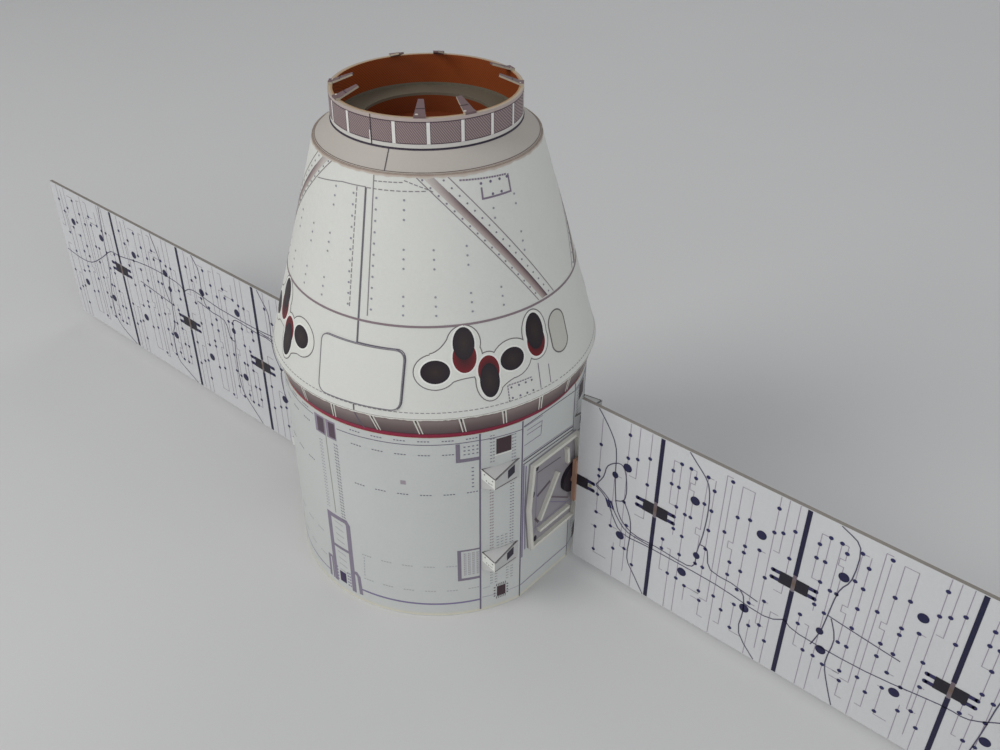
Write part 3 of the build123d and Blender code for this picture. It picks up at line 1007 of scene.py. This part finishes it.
# how often, the step across and up, and the first line as above
trunk["stripRepeats"] = (
    (4, 0, 1, 0.3, "dark", "mark", (-26.35, 4.1), (-25.65, 4.1)),
    (4, 0, 1, 0.3, "dark", "mark", (-20.95, 4.1), (-20.25, 4.1)),
    *((5, 0.9, 0, 0.2, "dark", "mark", (-25.2, foot), (-25, foot + 0.8)) for foot in (3, 7.5)),
    *((4, 1.5, 0, 0.28, "dash", "line", (-37.1, up), (-36.4, up)) for up in (52.6, 53.7, 54.8)),
    (6, 0, -1.15, 0.3, "dash", "line", (-34.4, 48.4), (-33.6, 48.4)),
)
trunk["middleRepeats"] = ((9, 0, -2.1, 0.16, "pale", "line", (-89.6, 24.6), (-85.4, 24.2)),)
# columns of dashes in the lower box, each of two kinds side by side: shift, width, tone and gap
trunk["stripColumns"] = {
    "first": -37.6, "pitch": 1.6, "count": 4, "heights": (21.4, 13.5), "dash": 0.35,
    "kinds": ((0, 0.34, "block", 0.3), (0.55, 0.16, "pale", 0.2)),
}
# left, right, low, high, tone and lift
trunk["stripBoxes"] = (
    (-25.4, -19.6, 50.9, 55.3, "dark", "mark"),
    (-25, -21.4, 3.8, 7.3, "dark", "mark"),
    (-39.8, -38.3, 50.4, 55.8, "frame", "line"),
    (-38.3, -31.4, 50.4, 51.4, "frame", "line"),
    (-40.2, -38.8, 12.1, 22.6, "frame", "line"),
    (-38.8, -31.5, 12.1, 12.9, "frame", "line"),
    (-38.8, -31.5, 22.1, 22.6, "frame", "line"),
)
# angle, low, high, tone, width in degrees and slope of the rungs
trunk["stripLadders"] = (
    (-26.7, 49, 56.7, "grey", 2.0, 0), (-18.4, 47.5, 55.5, "grey", 2.0, 0),
    (-27, 20.4, 40.5, "warm", 1.7, 0.18), (-18.9, 19.6, 43.2, "grey", 1.9, -0.15),
    *((angle, 20.8, 25.4, "grey", 1.1, 0) for angle in (-24.6, -22.9, -21.2)),
    *((angle, 9.2, 13.6, "grey", 1.1, 0) for angle in (-27.2, -25.3, -20.6, -18.7)),
)
trunk["middleLadders"] = ((-91.9, 28.5, 49.5, "pale", 1.9, 0.3), (-84.2, 26.8, 51.2, "dash", 2.2, -0.3))
trunk["middleLines"] = (
    (0.22, "olive", "line", (-88.6, 57), (-88.9, 50), (-88.3, 27.7)),
    (1.35, "ladder", "line", (-92.4, 2.4), (-92.4, 26.2), (-83.6, 26.2), (-82.7, 25.2), (-82.8, 2)),
    (0.9, "ladder", "mark", (-92.2, 15.8), (-82.9, 15.8)),
    (0.8, "ladder", "line", (-93.6, 10.2), (-95.6, 10.2), (-95.9, 2.6)),
    (0.45, "ladder", "line", (-93.9, 10.2), (-94, 2.5)),
    (1.05, "ladder", "line", (-82.2, 9.2), (-80.9, 9.4), (-79.9, 8.4), (-79.4, 2.2)),
)
trunk["middleBoxes"] = (
    (-94.1, -89, 51.7, 57, "window", "line"), (-92.8, -89.4, 52.2, 56.5, "glass", "mark"),
    (-88.2, -83.7, 51.7, 57, "window", "line"), (-87.0, -84.1, 52.2, 56.5, "glass", "mark"),
    (-89.9, -86.6, 3.4, 7, "socket", "mark"),
    (-59.3, -57.4, 44, 45.2, "block", "line"),
)
trunk["middleDots"] = {"angles": (-91.2, -85.4, -84.4), "foot": 3.4, "pitch": 1.1, "count": 5, "size": 0.26}
trunk["middleDashes"] = (0.2, "pale", 0.5, 0.5, (-76.4, 16.6), (-76.9, 9.2))  # width, tone, length and gap


def dashGroup(sheet, angle, height, tone):
    for n in range(trunk["dashCount"]):
        start = angle + trunk["dashStart"] + n * trunk["dashStep"]
        path = [(start, height), (start + trunk["dashLength"], height)]
        stroke(sheet, trunkFace, path, trunk["dashWidth"], tone)


def drawLadders(sheet, rows, at):
    # upright columns of short printed dashes
    pitch, parts = trunk["rungPitch"], trunk["rungParts"]
    for angle, low, high, tone, width, slope in rows:
        for n in range(int((high - low) / pitch) + 1):
            height = low + pitch * n
            for k in range(parts):
                left = at(angle) - width / 2 + width * k / parts
                path = [(left, height), (left + trunk["rungShare"] * width / parts, height + slope)]
                stroke(sheet, trunkFace, path, trunk["rungWidth"], trunk["tones"][tone])


def printStrip(sheet, dark, at):
    # the strip beside a facet; at() gives the place of each of its angles
    tones, columns = trunk["tones"], trunk["stripColumns"]
    drawLines(sheet, trunkFace, trunk["stripLines"], tones, at)
    drawBoxes(dark, trunkFace, trunk["stripBoxes"], tones, at)
    drawLadders(sheet, trunk["stripLadders"], at)
    drawLines(sheet, trunkFace, repeats(trunk["stripRepeats"]), tones, at)
    for n in range(columns["count"]):
        for shift, width, tone, gap in columns["kinds"]:
            angle = at(columns["first"] + columns["pitch"] * n + shift)
            path = [(angle, height) for height in columns["heights"]]
            dashed(sheet, trunkFace, path, width, tones[tone], columns["dash"], gap)


def printMiddle(sheet, dark, at):
    # two dark windows, ladders and the violet frame at the middle of a half
    tones, dots = trunk["tones"], trunk["middleDots"]
    drawBoxes(dark, trunkFace, trunk["middleBoxes"], tones, at)
    drawLines(sheet, trunkFace, trunk["middleLines"], tones, at)
    drawLadders(sheet, trunk["middleLadders"], at)
    drawLines(sheet, trunkFace, repeats(trunk["middleRepeats"]), tones, at)
    for angle in dots["angles"]:
        for n in range(dots["count"]):
            dot(dark, trunkFace, at(angle), dots["foot"] + dots["pitch"] * n, dots["size"], tones["violet"])
    width, tone, on, off, *places = trunk["middleDashes"]
    dashed(sheet, trunkFace, [(at(angle), height) for angle, height in places], width, tones[tone], on, off)


def printTrunk():
    sheet, dark = newPrint("trunk_lines"), newPrint("trunk_marks")
    tones, (heights, footLevels) = trunk["tones"], trunk["foot"]
    footTones = [printed(*level) for level in footLevels]
    lowEnd, highEnd = trunk["bareEnds"]
    for half in trunk["halves"]:

        def direct(angle):
            return angle + half

        def mirrored(angle):
            return half - 180 - angle

        panel(sheet, trunkFace, [direct(end) for end in trunk["ends"]], heights, footTones)
        drawLines(sheet, trunkFace, trunk["rings"], tones, direct)
        for height, strength in trunk["dashRows"]:
            for n in range(trunk["dashGroups"]):
                angle = trunk["firstDash"] - trunk["dashPitch"] * n
                inMiddle = trunk["bareMiddle"][0] < angle < trunk["bareMiddle"][1]
                byBox = height in trunk["bareRows"] and not lowEnd < angle < highEnd
                if not (inMiddle or byBox):
                    dashGroup(sheet, direct(angle), height, between(tones["fade"], tones["dash"], strength))
        printStrip(sheet, dark, direct)
        printStrip(sheet, dark, mirrored)
        printMiddle(sheet, dark, direct)
    finishPrint(sheet, "capsule", ink)
    finishPrint(dark, "capsule", ink)


# Facets behind the wing mounts, in (sideways, up) millimetres from the trunk's axis and the table
facet = {
    "half": 9.7,
    "tones": {"violet": printed(126, 116, 146), "dark": printed(66, 58, 74), "shade": printed(88, 78, 88),
              "soft": printed(112, 100, 108)},
    "lines": (
        (0.55, "violet", "line", (-9.35, 44.4), (-9.35, 14)),
        (0.4, "violet", "line", (-8.45, 43.6), (-8.6, 30), (-8.2, 16)),
        (0.3, "dark", "line", (-9.6, 44.7), (9.7, 44)),
        (0.34, "dark", "line", (-9.6, 45.75), (9.7, 45)),
        (0.16, "violet", "line", (-9.6, 46.3), (9.7, 45.5)),
        (0.18, "violet", "line", (-9.5, 55.8), (-2.6, 55.5)),
        (0.18, "violet", "line", (-8.4, 54.3), (-2.8, 54)),
        (0.18, "violet", "line", (-8.4, 53), (-3, 52.7)),
        (0.18, "violet", "line", (-9.3, 50.3), (-3.1, 50)),
        (0.18, "violet", "line", (-2.8, 54.2), (-3.1, 50.2)),
        (0.2, "dark", "line", (-9.6, 56.1), (9.7, 55.9)),
        (0.3, "violet", "line", (-9.7, 4.3), (9.7, 4.3)),
        (0.45, "violet", "line", (9.35, 43.4), (9.35, 14)),
    ),
    # on the mount plate
    "plateLines": (
        (0.2, "violet", "line", (-4.6, 39.2), (-4.9, 19.6)), (0.2, "dark", "line", (-4.7, 39.3), (4.6, 38.6)),
        (0.8, "shade", "line", (-4.4, 31.6), (0.6, 33.4)), (0.7, "shade", "line", (-3.6, 22.4), (-5, 24.6)),
        (0.5, "soft", "line", (1.4, 27.6), (8.6, 22.6)), (0.25, "violet", "line", (0.4, 26.6), (7.8, 21.6)),
        (0.2, "violet", "line", (-5.4, 21.4), (9.6, 21.4)),
    ),
    "spots": ((-4.8, 41.0), (-6.1, 33.2), (-4.8, 17.6)), "spotSize": (0.62, 1.0), "spotPoints": 12,
    "spotTone": printed(36, 30, 50),
}


def printFacets():
    sheet, marks = newPrint("facet_lines"), newPrint("mount_marks")
    heights, footTones = trunk["foot"]
    plateReach = corners("mount_plate_right")[1].x
    for side in (1, -1):
        face = flatFace((side * trunkTop.x, 0, 0), (0, side, 0), (0, 0, 1))
        plate = flatFace((side * plateReach, 0, 0), (0, side, 0), (0, 0, 1))
        panel(sheet, face, (-facet["half"], facet["half"]), heights, [printed(*tone) for tone in footTones])
        drawLines(sheet, face, facet["lines"], facet["tones"])
        drawLines(marks, plate, facet["plateLines"], facet["tones"])
        for spot in facet["spots"]:
            blob(marks, plate, *spot, ellipse(*facet["spotSize"], facet["spotPoints"]), facet["spotTone"])
    finishPrint(sheet, "capsule", ink)
    finishPrint(marks, "capsule", ink)


# Wedge brackets: angles of the foot by the facet, the far foot and the apex, and how deep the faces are
wedge = {
    "near": 16.1, "far": 31.1, "apex": 28.6, "reach": 4.9, "wallTall": 5.8, "apexTall": 2.8,
    # fold: worn paper on the folded edges, lightened further as a painted highlight
    "tones": {"dark": printed(40, 32, 50), "line": printed(74, 66, 70), "fold": printed(236, 236, 228),
              "clean": printed(222, 224, 218)},
    # on the long face: the window from share to share of its run, from below the apex's foot to below the
    # top, and where the foot line ends, as a share of the run and above the wall's foot
    "window": (0.52, 0.8, 0.3, 0.6), "longWidth": 0.2, "longInset": 0.1, "longFoot": (0.9, 0.6),
    # on the short face: clean card in from the apex and the far foot, above the apex's foot, below the top
    "clean": (0.15, 0.3, 0.1, 0.15), "foldWidth": 0.22, "foldFrom": 0.1, "foldDrop": 0.12,
    # on the flat top: line widths, and how far the lines stop short of its corners or lie inside its edges
    "topWidths": (0.18, 0.2, 0.26), "topShort": 0.3, "longEdge": 0.14, "shortStart": (0.05, 0.15),
    "shortEdge": 0.2, "wallEdge": (0.2, 0.1),
    # on the short face, in millimetres from the apex and down from the top
    "shortLines": (
        (0.2, "line", "line", (1.0, -2.2), (1.2, -1.8)), (0.2, "line", "line", (1.7, -2.35), (1.9, -1.95)),
        (0.2, "line", "line", (2.3, -2.45), (2.5, -2.05)), (0.2, "line", "line", (3.0, -2.3), (3.2, -1.9)),
        (0.25, "line", "line", (0.6, -0.8), (1.1, -0.8)), (0.25, "line", "line", (3.6, -0.7), (4.0, -0.7)),
        # a pale line down the apex edge: worn fold with a painted highlight
        (0.24, "fold", "mark", (0.12, -0.1), (0.12, -2.8)),
    ),
}


def printWedge(sheet, near, far, apex, top, flipped):
    tones = wedge["tones"]
    lift = Vector((0, 0, top))
    longFace = flatFace(apex + lift, near - apex, (0, 0, 1), flipped=flipped)
    shortFace = flatFace(apex + lift, far - apex, (0, 0, 1), flipped=not flipped)
    reach, short = (near - apex).length, (far - apex).length
    down = -wedge["apexTall"]
    left, right, below, drop = wedge["window"]
    panel(sheet, longFace, (reach * left, reach * right), (down - below, -drop), [tones["dark"]] * 2, "mark")
    left, right, above, drop = wedge["clean"]
    panel(sheet, shortFace, (left, short - right), (down + above, -drop), [tones["clean"]] * 2, "area")
    inset, (share, above) = wedge["longInset"], wedge["longFoot"]
    for path in ([(inset, -inset), (reach, -inset)],
                 [(inset, down + inset), (reach * share, above - wedge["wallTall"])]):
        stroke(sheet, longFace, path, wedge["longWidth"], tones["line"])
    drawLines(sheet, shortFace, wedge["shortLines"], tones)
    # the pale fold along the short face's top: worn edge with a painted highlight
    fold = [(wedge["foldFrom"], -wedge["foldDrop"]), (short, -wedge["foldDrop"])]
    stroke(sheet, shortFace, fold, wedge["foldWidth"], tones["fold"], "mark")
    # the flat top, in millimetres from the apex towards the facet's foot and towards the wall
    across = (near - apex).normalized()
    inward = Vector((0, 0, 1)).cross(across)
    u, v = (far - apex).dot(across), (far - apex).dot(inward)
    way, end, edge = math.copysign(1, v), wedge["topShort"], wedge["longEdge"]
    share, aside = wedge["shortStart"]
    farIn, nearIn = wedge["wallEdge"]
    paths = ([(end, edge * way), (reach - end, edge * way)],
             [(u * share + aside, v * share), (u + wedge["shortEdge"], v)],
             [(u, v - farIn * way), (reach - end, nearIn * way)])
    for path, width in zip(paths, wedge["topWidths"]):
        stroke(sheet, flatFace(apex + lift, across, inward), path, width, tones["line"])


def printWedges():
    sheet = newPrint("wedge_print")
    tops = [corners(f"wedge_right_front_{level}")[1].z for level in ("upper", "lower")]
    for side in (1, -1):
        for tilt in (1, -1):
            spots = []
            for radius, angle in ((0, "near"), (0, "far"), (wedge["reach"], "apex")):
                turn, reach = math.radians(wedge[angle]), trunkTop.y + radius
                spots.append(Vector((side * reach * math.cos(turn), tilt * reach * math.sin(turn), 0)))
            for top in tops:
                printWedge(sheet, *spots, top, side * tilt > 0)
    finishPrint(sheet, "capsule", ink)


# Wings: distances are from a wing's inner edge and up from its lower edge. The pale back carries upright
# circuit runs with dots, laid out once for a panel and repeated, and cables drawn across the panels.
# The left wing carries the same print turned half way, and a little higher on the card.
wings = {
    "panel": 36.7, "foldWidth": 1.1, "foldTone": printed(24, 22, 56), "leftShift": 2.4, "margin": 0.2,
    "stretch": 1.33,  # the panel next to the trunk shows the end of the pattern, drawn larger
    # place across a panel, top, foot, hooks at the top and at the foot, height of a bump, and heights of dots
    "runs": (
        (3.5, 47, 34, 2, 2, 0, (44, 40)), (5.5, 47, 25, 0, 0, 0, (47, 40, 34, 27)),
        (8, 47, -1, 1.5, 0, 0, (47, 33, 26, 20, 12)), (9.5, 47, 33, 0, 0, 42, (45, 33)),
        (12.5, 47, 20, 1.5, 0, 30, (47, 39, 20)), (14.5, 47, 11, 0, -1.5, 0, (44, 38, 32, 26, 20, 12)),
        (17, 50, 10, 1.5, -2, 0, ()), (18.5, 48, -1, 0, 0, 0, (49, 34, 13)),
        (21, 49, 5, 3, -1.5, 31, (40, 26, 22, 10)), (24, 49, 19, 0, 1.5, 0, (41, 33, 31, 25, 19)),
        (27.5, 34, 17, 1.5, 1.5, 0, (34, 17)), (30, 54, 12, 0, 2, 0, (48, 41, 27)),
        (32, 54, 36, 0, -1.5, 0, (42,)), (34.5, 54, 25, 0, -2, 0, (44, 36)),
        (3, 22, 12, 0, 1, 0, (22, 19)), (5.5, 20, -1, -1, 0, 0, (12,)), (10.5, 11, 6, 4, 0, 0, (11,)),
        (15, 9, 4, -2.5, 1.5, 0, (9,)), (24, 14, 5, -1, 3, 0, (14, 6)), (28.5, 12, -1, 0, 0, 0, (10,)),
        (31, 20, 4, 1, 0, 0, (20, 12)), (33, 18, -1, 2, 0, 0, (8,)),
    ),
    "bump": (1.2, 1),  # how far a bump stands out, and half its height
    "clear": (0.8, 1),  # bare card beyond the runs at the wing's inner and outer end
    "bigDots": ((9.3, 15), (26.6, 14.6), (10.1, 38.5), (27.3, 38.5)),  # in every panel but the first
    "firstBigDots": ((14.7, 38), (14.3, 15.6)),
    "dotSize": 0.54, "dotFlat": 0.94, "dotPoints": 10, "dotTone": printed(38, 36, 84),
    "bigSize": 1.24, "bigPoints": 20, "bigTone": printed(28, 26, 66),
    "runWidth": 0.15, "runTone": printed(150, 140, 156), "cableWidth": 0.27, "cableTone": printed(78, 74, 98),
    # cables run on past the card's edges and are cut off there
    "cables": (
        ((6, 28), (8, 31.5), (9, 35.5), (12, 38), (14, 37), (15, 31.5), (14.5, 27.5), (12, 26)),
        ((3, 54), (8, 48), (11, 42), (11.5, 32.5), (13, 23), (17.5, 18.6), (25, 18.4), (34, 18), (36, 20)),
        ((6, 28), (10, 25.5), (13, 21), (16.5, 18), (24, 17.6)),
        ((6, 27.5), (9.5, 25), (11.5, 21), (15, 16.7), (24, 17), (42, 17), (55, 15.6), (60, 18)),
        ((14.5, 27.5), (16.7, 23), (17.3, 18), (17, 9.5), (19.5, 5), (23.5, -1)),
        ((28, 54), (32.5, 49.5), (36.3, 45), (37.2, 38), (36.8, 29.5), (36, 24), (36, 20)),
        ((36.5, 26.5), (38.5, 26), (40.2, 20.5), (48.3, 19.6), (50, 14), (50, 6), (56, -1)),
        ((48.3, 19.6), (53, 18.8)),
        ((62, 54), (68, 51), (72, 48), (72, 39), (70, 34), (69, 25), (68.4, 20), (67, 15)),
        ((69, 26), (77, 25), (86, 24)),
        ((70, 25.6), (71.8, 20), (71.2, 12), (73, 5.5), (75.5, -1)),
        ((60, 18), (64, 16), (80, 16), (96, 18.3), (102, 18.6), (108.5, 23), (117, 28), (125, 29), (133, 28)),
        ((98, 54), (106, 50), (109, 45), (108, 36), (106, 28), (105, 17), (103, -1)),
    ),
    # three slanting strokes with the step between them and half their span, and dots that the cables run to
    "plug": (10.5, 24, 0.75), "plugHalf": (0.5, 1.2), "plugWidth": 0.5,
    "plugDots": ((11.4, 34), (36, 22.6), (68.3, 20.3)), "plugDotSize": (0.9, 1.0), "plugDotPoints": 14,
}
# the dark hinge marks: two round-ended bars with a block between them
hinge = {
    "heights": (29.6, 29.6, 23.6), "rootHeight": 26.4, "reach": 5.2, "gap": 1.12, "bar": 0.52, "block": 3.5,
    "blockHalf": 1.75, "barTone": printed(44, 40, 84), "blockTone": printed(27, 23, 34),
    "capGrow": 1.1, "capPoints": 12,  # round ends of the bars, a little wider than the bars
    "foldClear": (2.2, 2.5),  # the fold's line stops this far below and above the block's middle
    "pinHalf": 0.45, "pinHeights": (-2.3, 0, 2.6),
    "pinTones": ((124, 116, 124), (104, 88, 76), (112, 100, 112)),
    "rootPin": (0.72, 0.9), "rootPinHalf": 0.35, "rootPinTone": printed(176, 172, 120),
}


def printHinge(sheet, face, across, up, ends):
    low, high = (end * hinge["reach"] for end in ends)
    size = hinge["bar"] * hinge["capGrow"]
    for height in (up - hinge["gap"], up + hinge["gap"]):
        path = [(across + low, height), (across + high, height)]
        stroke(sheet, face, path, 2 * hinge["bar"], hinge["barTone"], "mark")
        for end in (low, high):
            if end:
                cap = ellipse(size, size, hinge["capPoints"])
                blob(sheet, face, across + end, height, cap, hinge["barTone"])
    left, right = (across + end * hinge["block"] for end in ends)
    heights = (up - hinge["blockHalf"], up + hinge["blockHalf"])
    panel(sheet, face, (left, right), heights, [hinge["blockTone"]] * 2, "over")
    if low:
        places = [up + height for height in hinge["pinHeights"]]
        tones = [printed(*tone) for tone in hinge["pinTones"]]
        panel(sheet, face, (across - hinge["pinHalf"], across + hinge["pinHalf"]), places, tones, "top")
    else:
        pin, half = [across + high * share for share in hinge["rootPin"]], hinge["rootPinHalf"]
        panel(sheet, face, pin, (up - half, up + half), [hinge["rootPinTone"]] * 2, "top")


def runPath(across, top, foot, topHook, footHook, bump):
    path = [(across + topHook, top)] if topHook else []
    path.append((across, top))
    if bump:
        aside, half = wings["bump"]
        high, low = bump + half, bump - half
        path += [(across, high), (across - aside, high), (across - aside, low), (across, low)]
    path.append((across, foot))
    return path + ([(across + footHook, foot)] if footHook else [])


def cutOff(path, low, high):
    # a path that ends where it leaves the card
    kept = []
    for n, (across, up) in enumerate(path):
        if low <= up <= high:
            kept.append((across, up))
            continue
        for other in path[max(n - 1, 0):n + 2]:
            if low <= other[1] <= high:
                edge = low if up < low else high
                kept.append(between(other, (across, up), (edge - other[1]) / (up - other[1])))
    return kept


def wingSheet(side, name, layer):
    # the flat face of a wing's layer, and the range of heights that its print may cover
    low, high = corners(f"{layer}_sheet_{name}")
    inner = min(abs(low.x), abs(high.x))
    if side > 0:
        face = flatFace((inner, low.y, low.z), (1, 0, 0), (0, 0, 1))
        return face, wings["margin"], high.z - low.z - wings["margin"]
    face = flatFace((-inner, low.y, high.z + wings["leftShift"]), (-1, 0, 0), (0, 0, -1))
    return face, wings["leftShift"] + wings["margin"], high.z - low.z + wings["leftShift"] - wings["margin"]


def wingFolds():
    low, high = corners("back_sheet_right")
    length = high.x - low.x
    return [length - wings["panel"] * n for n in (3, 2, 1)], length


def printPanel(sheet, marks, face, start, scale, limits, ends):
    # one panel's circuit runs and dots
    def place(across):
        return start + wings["panel"] - (wings["panel"] - across) * scale

    low, high = limits
    for across, top, foot, topHook, footHook, bump, heights in wings["runs"]:
        if not all(ends[0] < place(across + hook) < ends[1] for hook in (0, topHook, footHook)):
            continue
        path = [(place(u), v) for u, v in runPath(across, top, foot, topHook, footHook, bump)]
        stroke(sheet, face, cutOff(path, low, high), wings["runWidth"], wings["runTone"])
        for height in heights:
            size = wings["dotSize"]
            shape = ellipse(size, size * wings["dotFlat"], wings["dotPoints"])
            blob(marks, face, place(across), height, shape, wings["dotTone"])


def printWingBack(side, name):
    sheet, marks = newPrint(f"wing_circuits_{name}"), newPrint(f"wing_marks_{name}")
    face, low, high = wingSheet(side, name, "back")
    folds, length = wingFolds()
    ends = (wings["clear"][0], length - wings["clear"][1])
    printPanel(sheet, marks, face, folds[0] - wings["panel"], wings["stretch"], (low, high), ends)
    bigDots = list(wings["firstBigDots"])
    for fold in folds:
        printPanel(sheet, marks, face, fold, 1, (low, high), ends)
        bigDots += [(fold + across, up) for across, up in wings["bigDots"]]
    bigDot = ellipse(wings["bigSize"], wings["bigSize"], wings["bigPoints"])
    for spot in bigDots:
        blob(marks, face, *spot, bigDot, wings["bigTone"])
    for path in wings["cables"]:
        stroke(sheet, face, cutOff(smooth(path), low, high), wings["cableWidth"], wings["cableTone"], "mark")
    half, (below, above) = wings["foldWidth"] / 2, hinge["foldClear"]
    for fold, up in zip(folds, hinge["heights"]):
        for reach in ((low, up - below), (up + above, high)):
            panel(marks, face, (fold - half, fold + half), reach, [wings["foldTone"]] * 2, "mark")
        printHinge(marks, face, fold, up, (-1, 1))
    printHinge(marks, face, 0, hinge["rootHeight"], (0, 1))
    across, up, gap = wings["plug"]
    aside, rise = wings["plugHalf"]
    for n in (-1, 0, 1):
        path = [(across + gap * n - aside, up + rise), (across + gap * n + aside, up - rise)]
        stroke(marks, face, path, wings["plugWidth"], wings["dotTone"], "over")
    plugDot = ellipse(*wings["plugDotSize"], wings["plugDotPoints"])
    for spot in wings["plugDots"]:
        blob(marks, face, *spot, plugDot, wings["bigTone"], "over")
    finishPrint(sheet, f"{name}_wing", ink)
    finishPrint(marks, f"{name}_wing", ink)


# Cell side of the wings, out of sight in the picture: rows of dark cells with pale contact lines
cells = {
    "columns": 3, "rows": 6, "margin": 1.2, "gap": 0.45, "corner": 0.9, "lineWidth": 0.12,
    "tones": (printed(28, 34, 76), printed(36, 44, 92), printed(24, 30, 68)),
    "busPlaces": (-0.5, 0.5), "busTone": printed(150, 152, 168),  # shares of a cell's half width
    "frameHalf": 0.4, "frameInset": 0.1, "frameTone": printed(176, 176, 184),
}


def printCell(sheet, face, across, up, half, tall):
    cut = cells["corner"]
    outline = [(-half + cut, -tall), (half - cut, -tall), (half, -tall + cut), (half, tall - cut),
               (half - cut, tall), (-half + cut, tall), (-half, tall - cut), (-half, -tall + cut)]
    blob(sheet, face, across, up, outline, random.choice(cells["tones"]), "line")
    lines = [[(across - half, up), (across + half, up)]]
    for share in cells["busPlaces"]:
        lines.append([(across + share * half, up - tall), (across + share * half, up + tall)])
    for line in lines:
        stroke(sheet, face, line, cells["lineWidth"], cells["busTone"], "mark")


def printCells(side, name):
    sheet = newPrint(f"wing_cells_{name}")
    low, high = corners(f"cell_sheet_{name}")
    inner = min(abs(low.x), abs(high.x))
    face = flatFace((side * inner, high.y, low.z), (-1, 0, 0), (0, 0, 1))
    folds, length = wingFolds()
    margin, gap = cells["margin"], cells["gap"]
    tall = (high.z - low.z - 2 * margin) / cells["rows"]
    for left, right in zip([0, *folds], [*folds, length]):
        columns = max(2, round(cells["columns"] * (right - left) / wings["panel"]))
        wide = (right - left - 2 * margin) / columns
        for column in range(columns):
            across = -side * (left + margin + wide * (column + 0.5))
            for row in range(cells["rows"]):
                up = margin + tall * (row + 0.5)
                printCell(sheet, face, across, up, (wide - gap) / 2, (tall - gap) / 2)
    half, inset = cells["frameHalf"], cells["frameInset"]
    for fold in folds:
        ends = (-side * fold - half, -side * fold + half)
        panel(sheet, face, ends, (inset, high.z - low.z - inset), [cells["frameTone"]] * 2, "over")
    finishPrint(sheet, f"{name}_wing", ink)


printCone()
printRaceways()
printCovers()
print("cone printed")
printThrusters()
printDoor()
printBevel()
print("belt printed")
printShoulder()
printCollar()
printPetals()
print("collar printed")
printTrunk()
printFacets()
printWedges()
print("trunk printed")
for side, name in ((1, "right"), (-1, "left")):
    printWingBack(side, name)
    printCells(side, name)
print("wings printed")

# Floor, backdrop, lights and camera, in metres
studio = {
    "half": 2.4, "back": 1.6, "tall": 2.2, "sweep": 0.35, "sweepParts": 16,
    "floorTone": (206, 206, 205), "floorChange": 5, "floorGrain": (6, 4),  # how far it darkens; scale, detail
    "floorGloss": 0.5, "floorRough": 0.7,
    "skyTone": (0.93, 0.95, 1, 1), "sky": 0.42, "aim": (0, 0, 0.05),
    # name, place, size, power and tint
    "lamps": (("key", (-0.35, -0.75, 0.75), 0.5, 5.2, (1, 0.985, 0.96)),
              ("fill", (0.9, -0.35, 0.5), 0.8, 2.4, (0.97, 0.985, 1)),
              ("rim", (-0.3, 0.9, 0.8), 0.7, 1.6, (1, 1, 1))),
}
camera = {
    "place": (0.15519, -0.15538, 0.20056), "azimuth": 40.69, "elevation": 34.73, "roll": 0.28, "lens": 36.783,
    "sensor": 36, "clips": (0.01, 20),
}


def makeFloor():
    half, back, bend = studio["half"], studio["back"], studio["sweep"]
    profile = [(-half, 0)]
    for n in range(studio["sweepParts"] + 1):
        turn = math.pi / 2 * n / studio["sweepParts"]
        profile.append((back - bend + bend * math.sin(turn), bend - bend * math.cos(turn)))
    profile.append((back, studio["tall"]))
    verts = [(side * half, y, z) for y, z in profile for side in (-1, 1)]
    faces = [(2 * n, 2 * n + 1, 2 * n + 3, 2 * n + 2) for n in range(len(profile) - 1)]
    mesh = bpy.data.meshes.new("studio_floor")
    mesh.from_pydata(verts, [], faces)
    mesh.polygons.foreach_set("use_smooth", [True] * len(faces))
    floor = bpy.data.objects.new("studio_floor", mesh)
    bpy.context.scene.collection.objects.link(floor)
    floor.rotation_euler = (0, 0, math.radians(camera["azimuth"]))
    material, tree, shader = newMaterial("paleFloor", studio["floorGloss"])
    grain = noise(tree, put(tree, "ShaderNodeTexCoord").outputs["Object"], *studio["floorGrain"])
    changes = (0, studio["floorChange"])
    tones = (printed(*[level - change for level in studio["floorTone"]]) for change in changes)
    tree.links.new(blended(tree, grain, *tones), shader.inputs["Base Color"])
    shader.inputs["Roughness"].default_value = studio["floorRough"]
    mesh.materials.append(material)


def makeLights():
    for name, place, size, power, tint in studio["lamps"]:
        light = bpy.data.lights.new(name, "AREA")
        light.energy, light.size, light.color = power, size, tint
        lamp = bpy.data.objects.new(name, light)
        bpy.context.scene.collection.objects.link(lamp)
        lamp.location = place
        lamp.rotation_mode = "QUATERNION"
        lamp.rotation_quaternion = (Vector(studio["aim"]) - Vector(place)).to_track_quat("-Z", "Y")
    world = bpy.data.worlds.new("studio")
    bpy.context.scene.world = world
    world.use_nodes = True
    sky = world.node_tree.nodes["Background"]
    sky.inputs["Color"].default_value = studio["skyTone"]
    sky.inputs["Strength"].default_value = studio["sky"]


def makeCamera():
    azimuth, elevation, roll = (math.radians(camera[angle]) for angle in ("azimuth", "elevation", "roll"))
    flat = math.cos(elevation)
    back = Vector((math.sin(azimuth) * flat, -math.cos(azimuth) * flat, math.sin(elevation)))
    right = Vector((math.cos(azimuth), math.sin(azimuth), 0))
    up = back.cross(right)
    across = right * math.cos(roll) + up * math.sin(roll)
    upward = up * math.cos(roll) - right * math.sin(roll)
    data = bpy.data.cameras.new("camera")
    data.lens, data.sensor_width, data.sensor_fit = camera["lens"], camera["sensor"], "HORIZONTAL"
    data.clip_start, data.clip_end = camera["clips"]
    view = bpy.data.objects.new("camera", data)
    bpy.context.scene.collection.objects.link(view)
    turn = Matrix((across, upward, back)).transposed().to_4x4()
    view.matrix_world = Matrix.Translation(Vector(camera["place"])) @ turn
    bpy.context.scene.camera = view


makeFloor()
makeLights()
makeCamera()
bpy.context.scene.view_settings.view_transform = "Standard"
print("studio ready")
